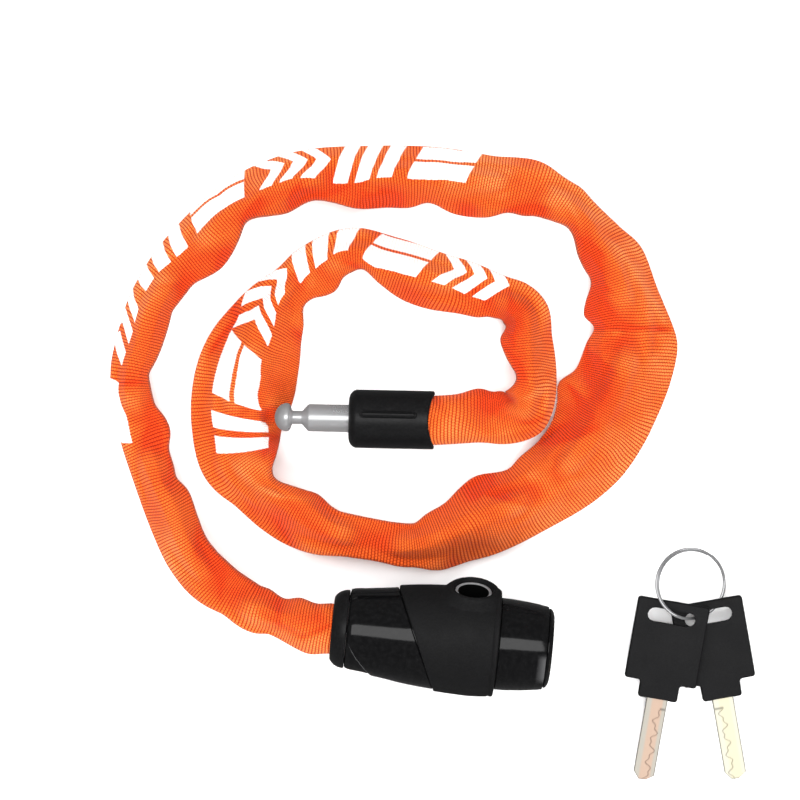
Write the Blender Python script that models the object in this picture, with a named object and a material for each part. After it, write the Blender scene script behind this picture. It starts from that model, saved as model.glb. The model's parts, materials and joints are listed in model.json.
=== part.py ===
"""Sleeved chain lock, one metre long, with its two keys on a ring.

The lock lies on a floor at z = 0 in a loose inward spiral. A steel chain runs inside a loose fabric
sleeve from the lock body to a steel stud bolt. Units are metres, +Z is up, and the origin is on the
floor under the middle of the whole object.
"""

import math

import bmesh
import bpy
import numpy as np
from mathutils import Matrix, Vector

# Whole object
ORIGIN_SHIFT = (0.0011, -0.0001)
GAP = 0.0003
ROUND_STEPS = 32

# Chain: square steel wire bent into long links, every second one standing on edge
WIRE = 0.0033
EYE_RADIUS = 0.0033
LINK_INNER_LENGTH = 0.03661
LINK_ARC_STEPS = 6
EDGE_PITCH = LINK_INNER_LENGTH + WIRE
FLAT_PITCH = LINK_INNER_LENGTH - 2 * EYE_RADIUS
EYE_SETBACK = EYE_RADIUS + WIRE / 2
LINK_HALF_WIDTH = EYE_RADIUS + WIRE
LINK_COUNT = 24
CHAIN_HEIGHT = 0.0080

# Chain joints, numbered from the stud: the links between two of them move as one span
BEND_PIVOTS = (22, 17, 12, 7, 2)
BEND_RANGE = math.radians(45)
BEND_GAP = 0.0012

# Sleeve: a loose flat tube over the chain
SLEEVE_WALL = 0.0008
SLEEVE_ROOM = 0.0006
SLEEVE_END_GAP = 0.0014
SLEEVE_SIDES = 12
SLEEVE_WIDTHS = (
    (0.000, 0.0196), (0.012, 0.0212), (0.096, 0.0195), (0.165, 0.0195), (0.195, 0.0205),
    (0.235, 0.0225), (0.334, 0.0220), (0.373, 0.0280), (0.443, 0.0290), (0.472, 0.0250),
    (0.512, 0.0188), (0.542, 0.0215), (0.582, 0.0242), (0.651, 0.0242), (0.681, 0.0225),
    (0.720, 0.0215), (0.760, 0.0205), (0.800, 0.0200), (0.820, 0.0182),
)

# The sleeve's route on the floor, from inside the lock's nose to inside the ferrule
ROUTE = (
    (-0.0200, -0.0632), (-0.0290, -0.0624), (-0.0374, -0.0616), (-0.0450, -0.0610), (-0.0541, -0.0593),
    (-0.0690, -0.0547), (-0.0813, -0.0473), (-0.0909, -0.0356), (-0.0971, -0.0240), (-0.1015, -0.0130),
    (-0.1063, -0.0010), (-0.1108, 0.0126), (-0.1147, 0.0281), (-0.1126, 0.0416), (-0.1070, 0.0576),
    (-0.0984, 0.0722), (-0.0882, 0.0833), (-0.0747, 0.0965), (-0.0600, 0.1045), (-0.0458, 0.1081),
    (-0.0245, 0.1090), (-0.0013, 0.1086), (0.0192, 0.1063), (0.0363, 0.1037), (0.0522, 0.0975),
    (0.0640, 0.0852), (0.0710, 0.0688), (0.0743, 0.0504), (0.0728, 0.0337), (0.0660, 0.0165),
    (0.0535, 0.0005), (0.0378, -0.0115), (0.0205, -0.0208), (0.0044, -0.0280), (-0.0101, -0.0316),
    (-0.0245, -0.0298), (-0.0390, -0.0256), (-0.0538, -0.0190), (-0.0660, -0.0083), (-0.0742, 0.0050),
    (-0.0758, 0.0191), (-0.0732, 0.0355), (-0.0664, 0.0502), (-0.0582, 0.0632), (-0.0450, 0.0739),
    (-0.0310, 0.0806), (-0.0156, 0.0767), (0.0029, 0.0693), (0.0200, 0.0645), (0.0310, 0.0616),
    (0.0360, 0.0570), (0.0366, 0.0460), (0.0368, 0.0330), (0.0368, 0.0235), (0.0345, 0.0186),
    (0.0250, 0.0175), (0.0080, 0.0166), (0.0002, 0.0163), (-0.0060, 0.0163),
)
STUD_PIN_FROM_END = 0.0122

# Lock body, along its own axis from the nose
LOCK_NOSE = (-0.0378, -0.0612)
LOCK_TURN = math.radians(-5.5)
LOCK_AXIS_HEIGHT = 0.0202
COLLAR_OPENING = 0.0102
COLLAR_LENGTH = 0.0054
SHELL_START = 0.0058
SHELL_END = 0.0615
SADDLE_START = 0.0200
SADDLE_END = 0.0620
SADDLE_STEP = 0.0009
SADDLE_SKIN = 0.0014
SADDLE_EDGE_AT_AXIS = 0.0315
SADDLE_EDGE_SLOPE = -0.42
REST_FLAT_HEIGHT = 0.0202
BARREL_START = 0.0623
BARREL_END = 0.0802
CAP_START = 0.0786
CAP_END = 0.0824
CORE_RADIUS = 0.0134
CORE_START = 0.0158
CORE_END = 0.0776
CORE_NECK_START = 0.0060
CORE_NECK_RADIUS = 0.0114

# Stud socket, across the lock body
SOCKET_AT = 0.0512
SOCKET_RISE = math.radians(25)
SOCKET_MOUTH = 0.0226
SOCKET_DEPTH = 0.0268
SOCKET_RADIUS = 0.0058
HUMP_RADIUS = 0.0098
HUMP_MOUTH_RADIUS = 0.0072
BUSHING_OUTER = 0.0068
BUSHING_INNER = 0.0057
BUSHING_LENGTH = 0.0080

# Key cylinder
PLUG_RADIUS = 0.0060
PLUG_START = 0.0640
PLUG_END = 0.0821
KEYWAY_WIDTH = 0.0026
KEYWAY_HEIGHT = 0.0088
GROOVE_AT = 0.0665
GROOVE_HALF = 0.0009
WAFER_PLACES = (0.0690, 0.0722, 0.0754)
WAFER_THICKNESS = 0.0012
LATCH_RADIUS = 0.0024
LATCH_TIP = 0.0534
LATCH_END = 0.0600
SPRING_WIRE = 0.00035
SPRING_RADIUS = 0.0016
SPRING_TURNS = 4

# Stud end, along its own axis from the ferrule's mouth towards the stud's tip
FERRULE_MOUTH = (0.0006, 0.0163)
STUD_TURN = math.radians(180 - 1.2)
STUD_HEIGHT = 0.0110
FERRULE_RADIUS = 0.0110
FERRULE_LENGTH = 0.0323
FERRULE_BORE = 0.0097
FERRULE_CORNER = 0.0027
MARK_LENGTH = 0.0212
MARK_WIDTH = 0.0026
MARK_DEPTH = 0.0005
STUD_SHANK = 0.00515
STUD_LENGTH = 0.0602
STUD_NECK = 0.0025
STUD_HEAD = 0.00535
CLEVIS_RADIUS = 0.0090
CLEVIS_PIN_RADIUS = 0.0021

# Keys and ring
KEY_TILT = math.radians(2.4)
KEY_A_SLOT = (0.0903, -0.0581, 0.0071)
KEY_A_TURN = math.radians(-9.9)
KEY_B_SLOT = (0.1045, -0.0581, 0.0038)
KEY_B_TURN = math.radians(10.0)
KEY_A_SWING = (0.0953, -0.0582)
KEY_B_SWING = (0.0995, -0.0582)
HEAD_WIDTH = 0.0274
HEAD_TOP = 0.0060
HEAD_BOTTOM = -0.0252
HEAD_THICKNESS = 0.0030
NECK_WIDTH = 0.0150
NECK_BOTTOM = -0.0316
SLOT_LENGTH = 0.0184
SLOT_WIDTH = 0.0054
BLADE_WIDTH = 0.0080
BLADE_THICKNESS = 0.0020
BLADE_TIP = -0.0625
BLADE_ROOT = -0.0160
RING_CENTRE = (0.0977, -0.0457)
RING_RADIUS = 0.0131
RING_WIRE = 0.00085
RING_MIDDLE = 0.00560
RING_LIFT = 0.0045
RING_DIP = math.radians(30)
RING_STEPS = 48
RING_SIDES = 6


# ---------------------------------------------------------------- scene and materials


def clear_scene():
    for obj in list(bpy.data.objects):
        bpy.data.objects.remove(obj, do_unlink=True)


def material(name, color, roughness, metallic=0.0):
    made = bpy.data.materials.new(name)
    made.use_nodes = True
    shader = made.node_tree.nodes["Principled BSDF"]
    shader.inputs["Base Color"].default_value = (*color, 1.0)
    shader.inputs["Roughness"].default_value = roughness
    shader.inputs["Metallic"].default_value = metallic
    return made


def make_materials():
    return {
        "sleeve": material("orange_nylon", (0.82, 0.13, 0.02), 0.85),
        "steel": material("bright_steel", (0.72, 0.73, 0.74), 0.25, 1.0),
        "chain": material("hardened_steel", (0.45, 0.45, 0.46), 0.40, 1.0),
        "zinc": material("die_cast_zinc", (0.55, 0.56, 0.57), 0.50, 1.0),
        "gloss": material("gloss_black", (0.012, 0.012, 0.013), 0.18),
        "satin": material("satin_black", (0.016, 0.016, 0.017), 0.45),
        "rubber": material("soft_black", (0.020, 0.020, 0.021), 0.62),
        "brass": material("brass", (0.80, 0.66, 0.36), 0.30, 1.0),
        "nickel": material("nickel_silver", (0.76, 0.72, 0.66), 0.28, 1.0),
        "key_plastic": material("key_head_black", (0.018, 0.018, 0.019), 0.50),
    }


def empty(name, location, turn=0.0, parent=None):
    made = bpy.data.objects.new(name, None)
    made.location = location
    made.rotation_euler = (0, 0, turn)
    made.parent = parent
    bpy.context.scene.collection.objects.link(made)
    return made


def add(name, mesh, finish, parent, matrix=None):
    """Link a mesh as one object, with its material, under its parent empty."""
    made = bpy.data.objects.new(name, mesh)
    if finish is not None:
        mesh.materials.clear()
        mesh.materials.append(finish)
    made.parent = parent
    if matrix is not None:
        made.matrix_local = matrix
    bpy.context.scene.collection.objects.link(made)
    return made


def cut(target, cutter, operation="DIFFERENCE"):
    cutter.hide_render = True
    cutter.display_type = "WIRE"
    step = target.modifiers.new(operation.lower() + "_" + cutter.name, "BOOLEAN")
    step.operation = operation
    step.object = cutter
    return target


# ---------------------------------------------------------------- mesh building


def finish_mesh(bm, name, smooth=35):
    bmesh.ops.recalc_face_normals(bm, faces=bm.faces[:])
    mesh = bpy.data.meshes.new(name)
    bm.to_mesh(mesh)
    bm.free()
    mesh.shade_smooth()
    mesh.set_sharp_from_angle(angle=math.radians(smooth))
    return mesh


def bridge_rings(bm, rings, closed):
    """Faces between neighbouring rings of points. A ring of one point makes a fan."""
    pairs = list(zip(rings, rings[1:]))
    if closed:
        pairs.append((rings[-1], rings[0]))
    for low, high in pairs:
        count = max(len(low), len(high))
        for i in range(count):
            j = (i + 1) % count
            corners = [low[i % len(low)], low[j % len(low)], high[j % len(high)], high[i % len(high)]]
            bm.faces.new(list(dict.fromkeys(corners)))


def turned(name, profile, steps=ROUND_STEPS, closed=False):
    """A solid turned about the X axis from (along, radius) points. A closed profile makes a ring."""
    bm = bmesh.new()
    rings = []
    for along, radius in profile:
        if radius == 0:
            rings.append([bm.verts.new((along, 0, 0))])
            continue
        angles = [2 * math.pi * k / steps for k in range(steps)]
        rings.append([bm.verts.new((along, radius * math.cos(a), radius * math.sin(a))) for a in angles])
    bridge_rings(bm, rings, closed)
    return finish_mesh(bm, name)


def rod(name, start, end, radius, steps=16):
    return turned(name, [(start, 0), (start, radius), (end, radius), (end, 0)], steps)


def tube(name, start, end, outer, inner, steps=ROUND_STEPS):
    profile = [(start, inner), (start, outer), (end, outer), (end, inner)]
    return turned(name, profile, steps, closed=True)


def block(name, low, high):
    bm = bmesh.new()
    bmesh.ops.create_cube(bm, size=1)
    size = Vector(high) - Vector(low)
    middle = (Vector(high) + Vector(low)) / 2
    bmesh.ops.transform(bm, matrix=Matrix.Translation(middle) @ Matrix.Diagonal((*size, 1)), verts=bm.verts)
    return finish_mesh(bm, name)


def slab(name, outline, low, high, chamfer=0.0):
    """An outline in X and Y, extruded from z = low to high, with its edges bevelled if asked."""
    bm = bmesh.new()
    face = bm.faces.new([bm.verts.new((x, y, low)) for x, y in outline])
    raised = bmesh.ops.extrude_face_region(bm, geom=[face])
    verts = [item for item in raised["geom"] if isinstance(item, bmesh.types.BMVert)]
    bmesh.ops.translate(bm, verts=verts, vec=(0, 0, high - low))
    bmesh.ops.recalc_face_normals(bm, faces=bm.faces[:])
    if chamfer:
        rims = [edge for edge in bm.edges if abs(edge.verts[0].co.z - edge.verts[1].co.z) < 1e-7]
        bmesh.ops.bevel(bm, geom=rims, offset=chamfer, segments=1, affect="EDGES")
    return finish_mesh(bm, name)


def rounded_outline(corners, radius, steps=3):
    """A polygon with each corner replaced by an arc of the given radius."""
    points = []
    count = len(corners)
    for i in range(count):
        here = Vector(corners[i])
        back = (Vector(corners[i - 1]) - here).normalized()
        ahead = (Vector(corners[(i + 1) % count]) - here).normalized()
        half = back.angle(ahead) / 2
        start = here + back * radius / math.tan(half)
        end = here + ahead * radius / math.tan(half)
        centre = here + (back + ahead).normalized() * radius / math.sin(half)
        for k in range(steps + 1):
            spoke = (start - centre).normalized().slerp((end - centre).normalized(), k / steps)
            points.append(tuple(centre + spoke * radius))
    return points


def stadium(length, width, steps=6):
    """A slot outline with round ends, centred on the origin, with its length along X."""
    radius = width / 2
    points = []
    for side in (1, -1):
        for k in range(steps + 1):
            angle = side * math.pi / 2 - math.pi * k / steps
            x = side * (length / 2 - radius) + radius * math.cos(angle)
            points.append((x, radius * math.sin(angle)))
    return points


# ---------------------------------------------------------------- the route and the chain's joints


def smooth_curve(points, steps=16):
    """A smooth curve through the points (centripetal Catmull-Rom), as an array of its points."""
    p = np.array(points, float)
    p = np.vstack([2 * p[0] - p[1], p, 2 * p[-1] - p[-2]])
    pieces = []
    for i in range(1, len(p) - 2):
        a, b, c, d = p[i - 1 : i + 3]
        t1 = math.sqrt(np.linalg.norm(b - a))
        t2 = t1 + math.sqrt(np.linalg.norm(c - b))
        t3 = t2 + math.sqrt(np.linalg.norm(d - c))
        t = np.linspace(t1, t2, steps, endpoint=False)[:, None]
        ab = (t1 - t) / t1 * a + t / t1 * b
        bc = (t2 - t) / (t2 - t1) * b + (t - t1) / (t2 - t1) * c
        cd = (t3 - t) / (t3 - t2) * c + (t - t2) / (t3 - t2) * d
        abc = (t2 - t) / t2 * ab + t / t2 * bc
        bcd = (t3 - t) / (t3 - t1) * bc + (t - t1) / (t3 - t1) * cd
        pieces.append((t2 - t) / (t2 - t1) * abc + (t - t1) / (t2 - t1) * bcd)
    return np.vstack([*pieces, p[-2]])


def lengths(curve):
    return np.concatenate([[0], np.cumsum(np.linalg.norm(np.diff(curve, axis=0), axis=1))])


def at_length(curve, along, s):
    return np.array([np.interp(s, along, curve[:, k]) for k in range(curve.shape[1])])


def chain_pivots():
    """Walk link by link from the stud to the lock. Links turn about Z at the edgewise links' end wires."""
    curve = smooth_curve(ROUTE)[::-1]
    along = lengths(curve)
    place = STUD_PIN_FROM_END
    pivots = [at_length(curve, along, place)]
    for k in range(LINK_COUNT):
        pitch = FLAT_PITCH if k % 2 == 0 else EDGE_PITCH
        low = place
        high = place + 1.5 * pitch
        for _ in range(40):
            middle = (low + high) / 2
            reach = np.linalg.norm(at_length(curve, along, middle) - pivots[-1])
            low, high = (middle, high) if reach < pitch else (low, middle)
        place = high
        pivots.append(at_length(curve, along, place))
    return pivots


def chain_heights(pivots):
    """Height of each link's two ends: level on the floor, rising into the stud and into the lock."""
    heights = [[CHAIN_HEIGHT, CHAIN_HEIGHT] for _ in range(LINK_COUNT)]
    rise = STUD_HEIGHT - CHAIN_HEIGHT
    slope = rise / (FLAT_PITCH + EYE_SETBACK)
    heights[0] = [STUD_HEIGHT, STUD_HEIGHT - slope * FLAT_PITCH]
    climb = (EDGE_PITCH, FLAT_PITCH, EDGE_PITCH)
    slope = (LOCK_AXIS_HEIGHT - CHAIN_HEIGHT) / (sum(climb) - 1.5 * EYE_SETBACK)
    height = CHAIN_HEIGHT - slope * EYE_SETBACK / 2
    for k, pitch in enumerate(climb, LINK_COUNT - len(climb)):
        heights[k] = [height, height + slope * pitch]
        height += slope * pitch
    return heights


def sleeve_line(pivots, heights):
    """The sleeve's centre line: the chain's own joints, from the lock's nose to the ferrule's mouth."""
    nose = np.array(LOCK_NOSE)
    share = np.dot(nose - pivots[-1], pivots[-2] - pivots[-1]) / EDGE_PITCH**2
    start = pivots[-1] + share * (pivots[-2] - pivots[-1])
    line = [(*start, heights[-1][1] + share * (heights[-1][0] - heights[-1][1]))]
    for k in range(LINK_COUNT - 1, 0, -1):
        line.append((*pivots[k], max(CHAIN_HEIGHT, min(heights[k][0], heights[k - 1][1]))))
    line.append((*pivots[0], STUD_HEIGHT))
    line.append((*FERRULE_MOUTH, STUD_HEIGHT))
    return np.array(line)


def link_mesh():
    """One link lying flat, centred on its middle, with its length along X."""
    half_straight = LINK_INNER_LENGTH / 2 - EYE_RADIUS
    bm = bmesh.new()
    rings = []
    for side in (1, -1):
        for k in range(LINK_ARC_STEPS + 1):
            angle = side * math.pi / 2 - math.pi * k / LINK_ARC_STEPS
            out = Vector((math.cos(angle), math.sin(angle), 0))
            centre = Vector((side * half_straight, 0, 0))
            inner = centre + out * EYE_RADIUS
            outer = centre + out * (EYE_RADIUS + WIRE)
            lift = Vector((0, 0, WIRE / 2))
            corners = [inner - lift, outer - lift, outer + lift, inner + lift]
            rings.append([bm.verts.new(corner) for corner in corners])
    bridge_rings(bm, rings, closed=True)
    return finish_mesh(bm, "chain_link")


def direction_matrix(start, end, roll=0.0):
    """A frame at the middle of start and end, with X from start to end, level sideways, then rolled."""
    ahead = Vector(end) - Vector(start)
    side = Vector((0, 0, 1)).cross(ahead).normalized()
    up = ahead.cross(side).normalized()
    axes = Matrix((ahead.normalized(), side, up)).transposed().to_4x4()
    middle = (Vector(start) + Vector(end)) / 2
    return Matrix.Translation(middle) @ axes @ Matrix.Rotation(roll, 4, "X")


def span_of(index):
    """Which span a link belongs to: 0 is fixed to the lock, and 5 carries the stud."""
    return sum(index < pivot for pivot in BEND_PIVOTS)


def make_chain(mats, spans, pivots, heights):
    mesh = link_mesh()
    for k in range(LINK_COUNT):
        start = (*pivots[k], heights[k][0])
        end = (*pivots[k + 1], heights[k][1])
        roll = 0.0 if k % 2 == 0 else math.pi / 2
        span = spans[span_of(k)]
        place = Matrix.Translation(span.location).inverted() @ direction_matrix(start, end, roll)
        add(f"chain_link_{LINK_COUNT - k:02d}", mesh, mats["chain"], span, place)


# ---------------------------------------------------------------- sleeve


def sleeve_places(along, start, end):
    """Where the sleeve's rings sit: at its ends, at each chain joint and in the middle of each link."""
    middles = (along[1:] + along[:-1]) / 2
    inside = [s for s in np.sort(np.concatenate([along, middles])) if start + 0.004 < s < end - 0.004]
    return [start, *inside, end]


def sleeve_ring(centre, side, half_widths, half_height):
    """A flat-topped oval across the sleeve, with its own half width on each side."""
    points = []
    for k in range(SLEEVE_SIDES):
        angle = 2 * math.pi * k / SLEEVE_SIDES
        rise = max(-1.0, min(1.0, math.sin(angle) / math.sin(math.radians(60))))
        half_width = half_widths[0] if math.cos(angle) > 0 else half_widths[1]
        points.append(centre + side * half_width * math.cos(angle) + Vector((0, 0, half_height * rise)))
    return points


def heading(line, along, s, step):
    """Level direction of the line just before s (negative step) or just after it."""
    there = at_length(line, along, s + step) - at_length(line, along, s)
    return Vector(there[:2] * math.copysign(1, step))


def mitre(line, along, s):
    """The sleeve's leftward direction at s, and the stretch of its left and right halves there."""
    before = heading(line, along, s, -SLEEVE_ROOM)
    after = heading(line, along, s, SLEEVE_ROOM)
    before, after = (before or after).normalized(), (after or before).normalized()
    turn = before.angle_signed(after)
    bisector = (before + after).normalized()
    stretch = 1 / math.cos(turn / 2)
    side = Vector((-bisector.y, bisector.x, 0))
    return side, ((1.0, stretch) if turn > 0 else (stretch, 1.0))


def sleeve_tube(name, line, along, start, end):
    half_height = LINK_HALF_WIDTH + SLEEVE_ROOM + SLEEVE_WALL
    width_at, widths = zip(*SLEEVE_WIDTHS)
    rings = {0.0: [], SLEEVE_WALL: []}
    bm = bmesh.new()
    for s in sleeve_places(along, start, end):
        centre = Vector(at_length(line, along, s))
        side, stretches = mitre(line, along, s)
        half_width = np.interp(s, width_at, widths) / 2
        for inset, found in rings.items():
            half_widths = [(half_width - inset) * stretch for stretch in stretches]
            ring = sleeve_ring(centre, side, half_widths, half_height - inset)
            found.append([bm.verts.new(point) for point in ring])
    bridge_rings(bm, rings[0.0] + rings[SLEEVE_WALL][::-1], closed=True)
    return finish_mesh(bm, name, 60)


def bend_room(line, along, bend):
    """Length that the sleeve leaves free on each side of a bend, so that its two ends never meet."""
    before = heading(line, along, bend, -SLEEVE_ROOM)
    after = heading(line, along, bend, SLEEVE_ROOM)
    turn = before.angle(after)
    half_width = np.interp(bend, *zip(*SLEEVE_WIDTHS)) / 2
    return half_width * math.tan(max(turn, BEND_RANGE - turn) / 2) + BEND_GAP


def make_sleeve(mats, spans, pivots, heights):
    """The fabric sleeve, split where the chain's spans meet, with room there for the bend."""
    line = sleeve_line(pivots, heights)
    along = lengths(line)
    start = SLEEVE_END_GAP
    for k, span in enumerate(spans):
        end = along[-1] - SLEEVE_END_GAP
        if k < len(BEND_PIVOTS):
            bend = along[LINK_COUNT - BEND_PIVOTS[k]]
            room = bend_room(line, along, bend)
            end = bend - room
        mesh = sleeve_tube(f"sleeve_span_{k + 1}", line, along, start, end)
        place = Matrix.Translation(span.location).inverted()
        add(f"sleeve_span_{k + 1}", mesh, mats["sleeve"], span, place)
        start = bend + room


# ---------------------------------------------------------------- lock body


def body_radius(along):
    """Outer radius of the lock body's smooth outline, at a distance from the nose."""
    places = (0.0, 0.006, 0.012, 0.020, 0.028, 0.036, 0.046, 0.054, 0.062)
    radii = (0.0120, 0.0150, 0.0158, 0.0168, 0.0180, 0.0188, 0.0194, 0.0196, 0.0190)
    return float(np.interp(along, places, radii))


def saddle_outline(grow):
    """The saddle's outer profile before its slanted front cut: it follows the body's outline."""
    places = (SADDLE_START - grow, 0.028, 0.036, 0.046, 0.054, SADDLE_END + grow)
    return [(u, body_radius(u) + SADDLE_STEP + grow) for u in places]


def saddle_underside(grow):
    """The profile that the saddle is hollowed to, from behind its rear end to before its front."""
    places = (SADDLE_END + 0.006, 0.054, 0.046, 0.036, 0.028, SADDLE_START - 0.006)
    return [(u, body_radius(u) + SADDLE_STEP - SADDLE_SKIN - grow) for u in places]


def slanted_front(name, offset):
    """A big block that removes all in front of the saddle's slanted leading edge."""
    mesh = block(name, (-0.060, -0.040, -0.040), (0, 0.040, 0.040))
    lean = Matrix.Rotation(math.atan(-SADDLE_EDGE_SLOPE), 4, "Z")
    place = Matrix.Translation((SADDLE_EDGE_AT_AXIS + offset, 0, 0)) @ lean
    return mesh, place


def socket_matrix():
    """The stud socket's frame: its X axis points out of the mouth."""
    out = Vector((0, math.cos(SOCKET_RISE), math.sin(SOCKET_RISE)))
    ahead = Vector((1, 0, 0))
    axes = Matrix((out, out.cross(ahead), -ahead)).transposed()
    return Matrix.Translation((SOCKET_AT, 0, 0)) @ axes.to_4x4()


def make_collar(mats, lock):
    profile = [
        (0.0000, COLLAR_OPENING + 0.0003), (0.0000, 0.0116), (0.0007, 0.0127), (0.0020, 0.0138),
        (0.0036, 0.0145), (COLLAR_LENGTH, 0.0148), (COLLAR_LENGTH, 0.0122), (0.0036, 0.0122),
        (0.0036, COLLAR_OPENING), (0.0006, COLLAR_OPENING),
    ]
    add("nose_collar", turned("nose_collar", profile, closed=True), mats["satin"], lock)


def make_shell(mats, lock):
    places = (SHELL_START, 0.012, 0.020, 0.028, 0.036, 0.046, 0.054, SHELL_END)
    outer = [(u, body_radius(u) + 0.0002) for u in places]
    inner = [(SHELL_END, 0.0166), (0.030, 0.0150), (0.018, 0.0142), (SHELL_START, 0.0122)]
    shell = add("nose_shell", turned("nose_shell", outer + inner, closed=True), mats["gloss"], lock)
    around = turned("saddle_recess", saddle_outline(0.002) + saddle_underside(GAP), closed=True)
    recess = add("saddle_recess", around, None, lock)
    front, place = slanted_front("recess_front", -GAP)
    cut(recess, add("recess_front", front, None, lock, place))
    cut(shell, recess)
    mouth = rod("shell_mouth", 0, 0.030, BUSHING_OUTER + GAP, 24)
    cut(shell, add("shell_mouth", mouth, None, lock, socket_matrix()))


def make_saddle(mats, lock):
    outline = [(SADDLE_START, 0), *saddle_outline(0), (SADDLE_END, 0)]
    saddle = add("grip_saddle", turned("grip_saddle", outline), mats["rubber"], lock)
    front, place = slanted_front("saddle_front", 0)
    cut(saddle, add("saddle_front", front, None, lock, place))
    profile = [
        (0.0140, 0), (0.0140, HUMP_RADIUS + 0.0012), (0.0190, HUMP_RADIUS),
        (SOCKET_MOUTH - 0.0011, HUMP_RADIUS - 0.0004), (SOCKET_MOUTH - 0.0003, HUMP_RADIUS - 0.0012),
        (SOCKET_MOUTH, HUMP_RADIUS - 0.0020), (SOCKET_MOUTH, 0),
    ]
    hump = add("hump", turned("hump", profile), None, lock, socket_matrix())
    cut(saddle, hump, "UNION")
    inner = saddle_underside(0)[::-1]
    hollow = [(inner[0][0], 0), *inner, (inner[-1][0], 0)]
    cut(saddle, add("saddle_hollow", turned("saddle_hollow", hollow), None, lock))
    profile = [
        (0.010, 0), (0.010, BUSHING_OUTER + GAP), (SOCKET_MOUTH - 0.0014, BUSHING_OUTER + GAP),
        (SOCKET_MOUTH + 0.0006, HUMP_MOUTH_RADIUS + 0.0008), (SOCKET_MOUTH + 0.0006, 0),
    ]
    cut(saddle, add("saddle_mouth", turned("saddle_mouth", profile, 24), None, lock, socket_matrix()))
    floor = block("saddle_floor", (0, -0.03, -0.03), (0.08, 0.03, -REST_FLAT_HEIGHT))
    cut(saddle, add("saddle_floor", floor, None, lock))
    behind = block("behind_saddle", (SADDLE_END, -0.03, -0.03), (0.08, 0.03, 0.03))
    cut(saddle, add("behind_saddle", behind, None, lock))


def make_barrel(mats, lock):
    profile = [
        (BARREL_START, 0.0138), (BARREL_START, 0.0172), (0.0665, 0.0171), (0.0725, 0.0166), (0.0765, 0.0161),
        (BARREL_END, 0.0155), (BARREL_END, 0.0146), (0.0781, 0.0146), (0.0781, 0.0138),
    ]
    add("end_barrel", turned("end_barrel", profile, closed=True), mats["gloss"], lock)


def make_cap(mats, lock):
    hole = PLUG_RADIUS + GAP
    profile = [
        (CAP_START, hole), (CAP_START, 0.0142), (0.0804, 0.0143), (0.0806, 0.0150), (0.0813, 0.0147),
        (0.0820, 0.0138), (CAP_END, 0.0126), (CAP_END, hole + 0.0006), (0.0818, hole),
    ]
    add("end_cap", turned("end_cap", profile, closed=True), mats["gloss"], lock)


def make_core(mats, lock):
    profile = [
        (CORE_NECK_START, 0), (CORE_NECK_START, CORE_NECK_RADIUS), (CORE_START, CORE_NECK_RADIUS),
        (CORE_START, CORE_RADIUS), (CORE_END, CORE_RADIUS), (CORE_END, 0),
    ]
    core = add("lock_core", turned("lock_core", profile, 24), mats["zinc"], lock)
    slot = block("anchor_slot", (0, -WIRE / 2 - 0.0010, -0.0094), (0.0245, WIRE / 2 + 0.0010, 0.0094))
    cut(core, add("anchor_slot", slot, None, lock))
    pin_hole = rod("anchor_pin_hole", -0.02, 0.02, 0.0022 + GAP)
    cut(core, add("anchor_pin_hole", pin_hole, None, lock, across_matrix(anchor_pin_place())))
    socket = rod("core_socket", SOCKET_MOUTH - SOCKET_DEPTH, 0.02, SOCKET_RADIUS, 20)
    cut(core, add("core_socket", socket, None, lock, socket_matrix()))
    seat = rod("bushing_seat", SOCKET_MOUTH - BUSHING_LENGTH - 0.0014 - GAP, 0.02, BUSHING_OUTER + GAP, 20)
    cut(core, add("bushing_seat", seat, None, lock, socket_matrix()))
    cut(core, add("plug_bore", rod("plug_bore", PLUG_START - GAP, 0.09, PLUG_RADIUS + GAP, 24), None, lock))
    cut(core, add("latch_bore", rod("latch_bore", 0.0500, PLUG_START, LATCH_RADIUS + GAP), None, lock))
    hole = rod("retainer_hole", 0.0030, 0.02, 0.0008 + GAP / 2, 12)
    cut(core, add("retainer_hole", hole, None, lock, retainer_matrix()))


def across_matrix(along, height=0.0):
    """A frame across the lock body, level, with its X axis sideways."""
    return Matrix.Translation((along, 0, height)) @ Matrix.Rotation(math.pi / 2, 4, "Z")


def anchor_pin_place():
    """Distance from the nose to the anchor pin, in the middle of the last link's eye."""
    pivots = chain_pivots()
    ahead = (pivots[-2] - pivots[-1]) / EDGE_PITCH
    eye = pivots[-1] + ahead * EYE_SETBACK - np.array(LOCK_NOSE)
    return eye[0] * math.cos(LOCK_TURN) + eye[1] * math.sin(LOCK_TURN)


def retainer_matrix():
    """The retaining pin's frame: radial, over the plug's groove, square to one facet of the bore."""
    lean = Matrix.Rotation(math.pi / 24, 4, "X")
    return Matrix.Translation((GROOVE_AT, 0, 0)) @ lean @ Matrix.Rotation(-math.pi / 2, 4, "Y")


def make_plug(mats, lock):
    neck = 0.0048
    profile = [
        (PLUG_START, 0), (PLUG_START, PLUG_RADIUS), (GROOVE_AT - GROOVE_HALF, PLUG_RADIUS),
        (GROOVE_AT - GROOVE_HALF, neck), (GROOVE_AT + GROOVE_HALF, neck),
        (GROOVE_AT + GROOVE_HALF, PLUG_RADIUS),
        (PLUG_END - 0.0004, PLUG_RADIUS), (PLUG_END, PLUG_RADIUS - 0.0004), (PLUG_END, 0),
    ]
    plug = add("key_plug", turned("key_plug", profile, 24), mats["nickel"], lock)
    half_width = KEYWAY_WIDTH / 2
    half_height = KEYWAY_HEIGHT / 2
    way = block("keyway", (GROOVE_AT + 0.0015, -half_width, -half_height), (0.09, half_width, half_height))
    cut(plug, add("keyway", way, None, lock))
    for k, place in enumerate(WAFER_PLACES):
        half = WAFER_THICKNESS / 2 + GAP / 2
        room = block(f"wafer_room_{k + 1}", (place - half, -0.0028, -0.0070), (place + half, 0.0028, 0.0070))
        cut(plug, add(f"wafer_room_{k + 1}", room, None, lock))
        make_wafer(mats, lock, k, place)


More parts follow.
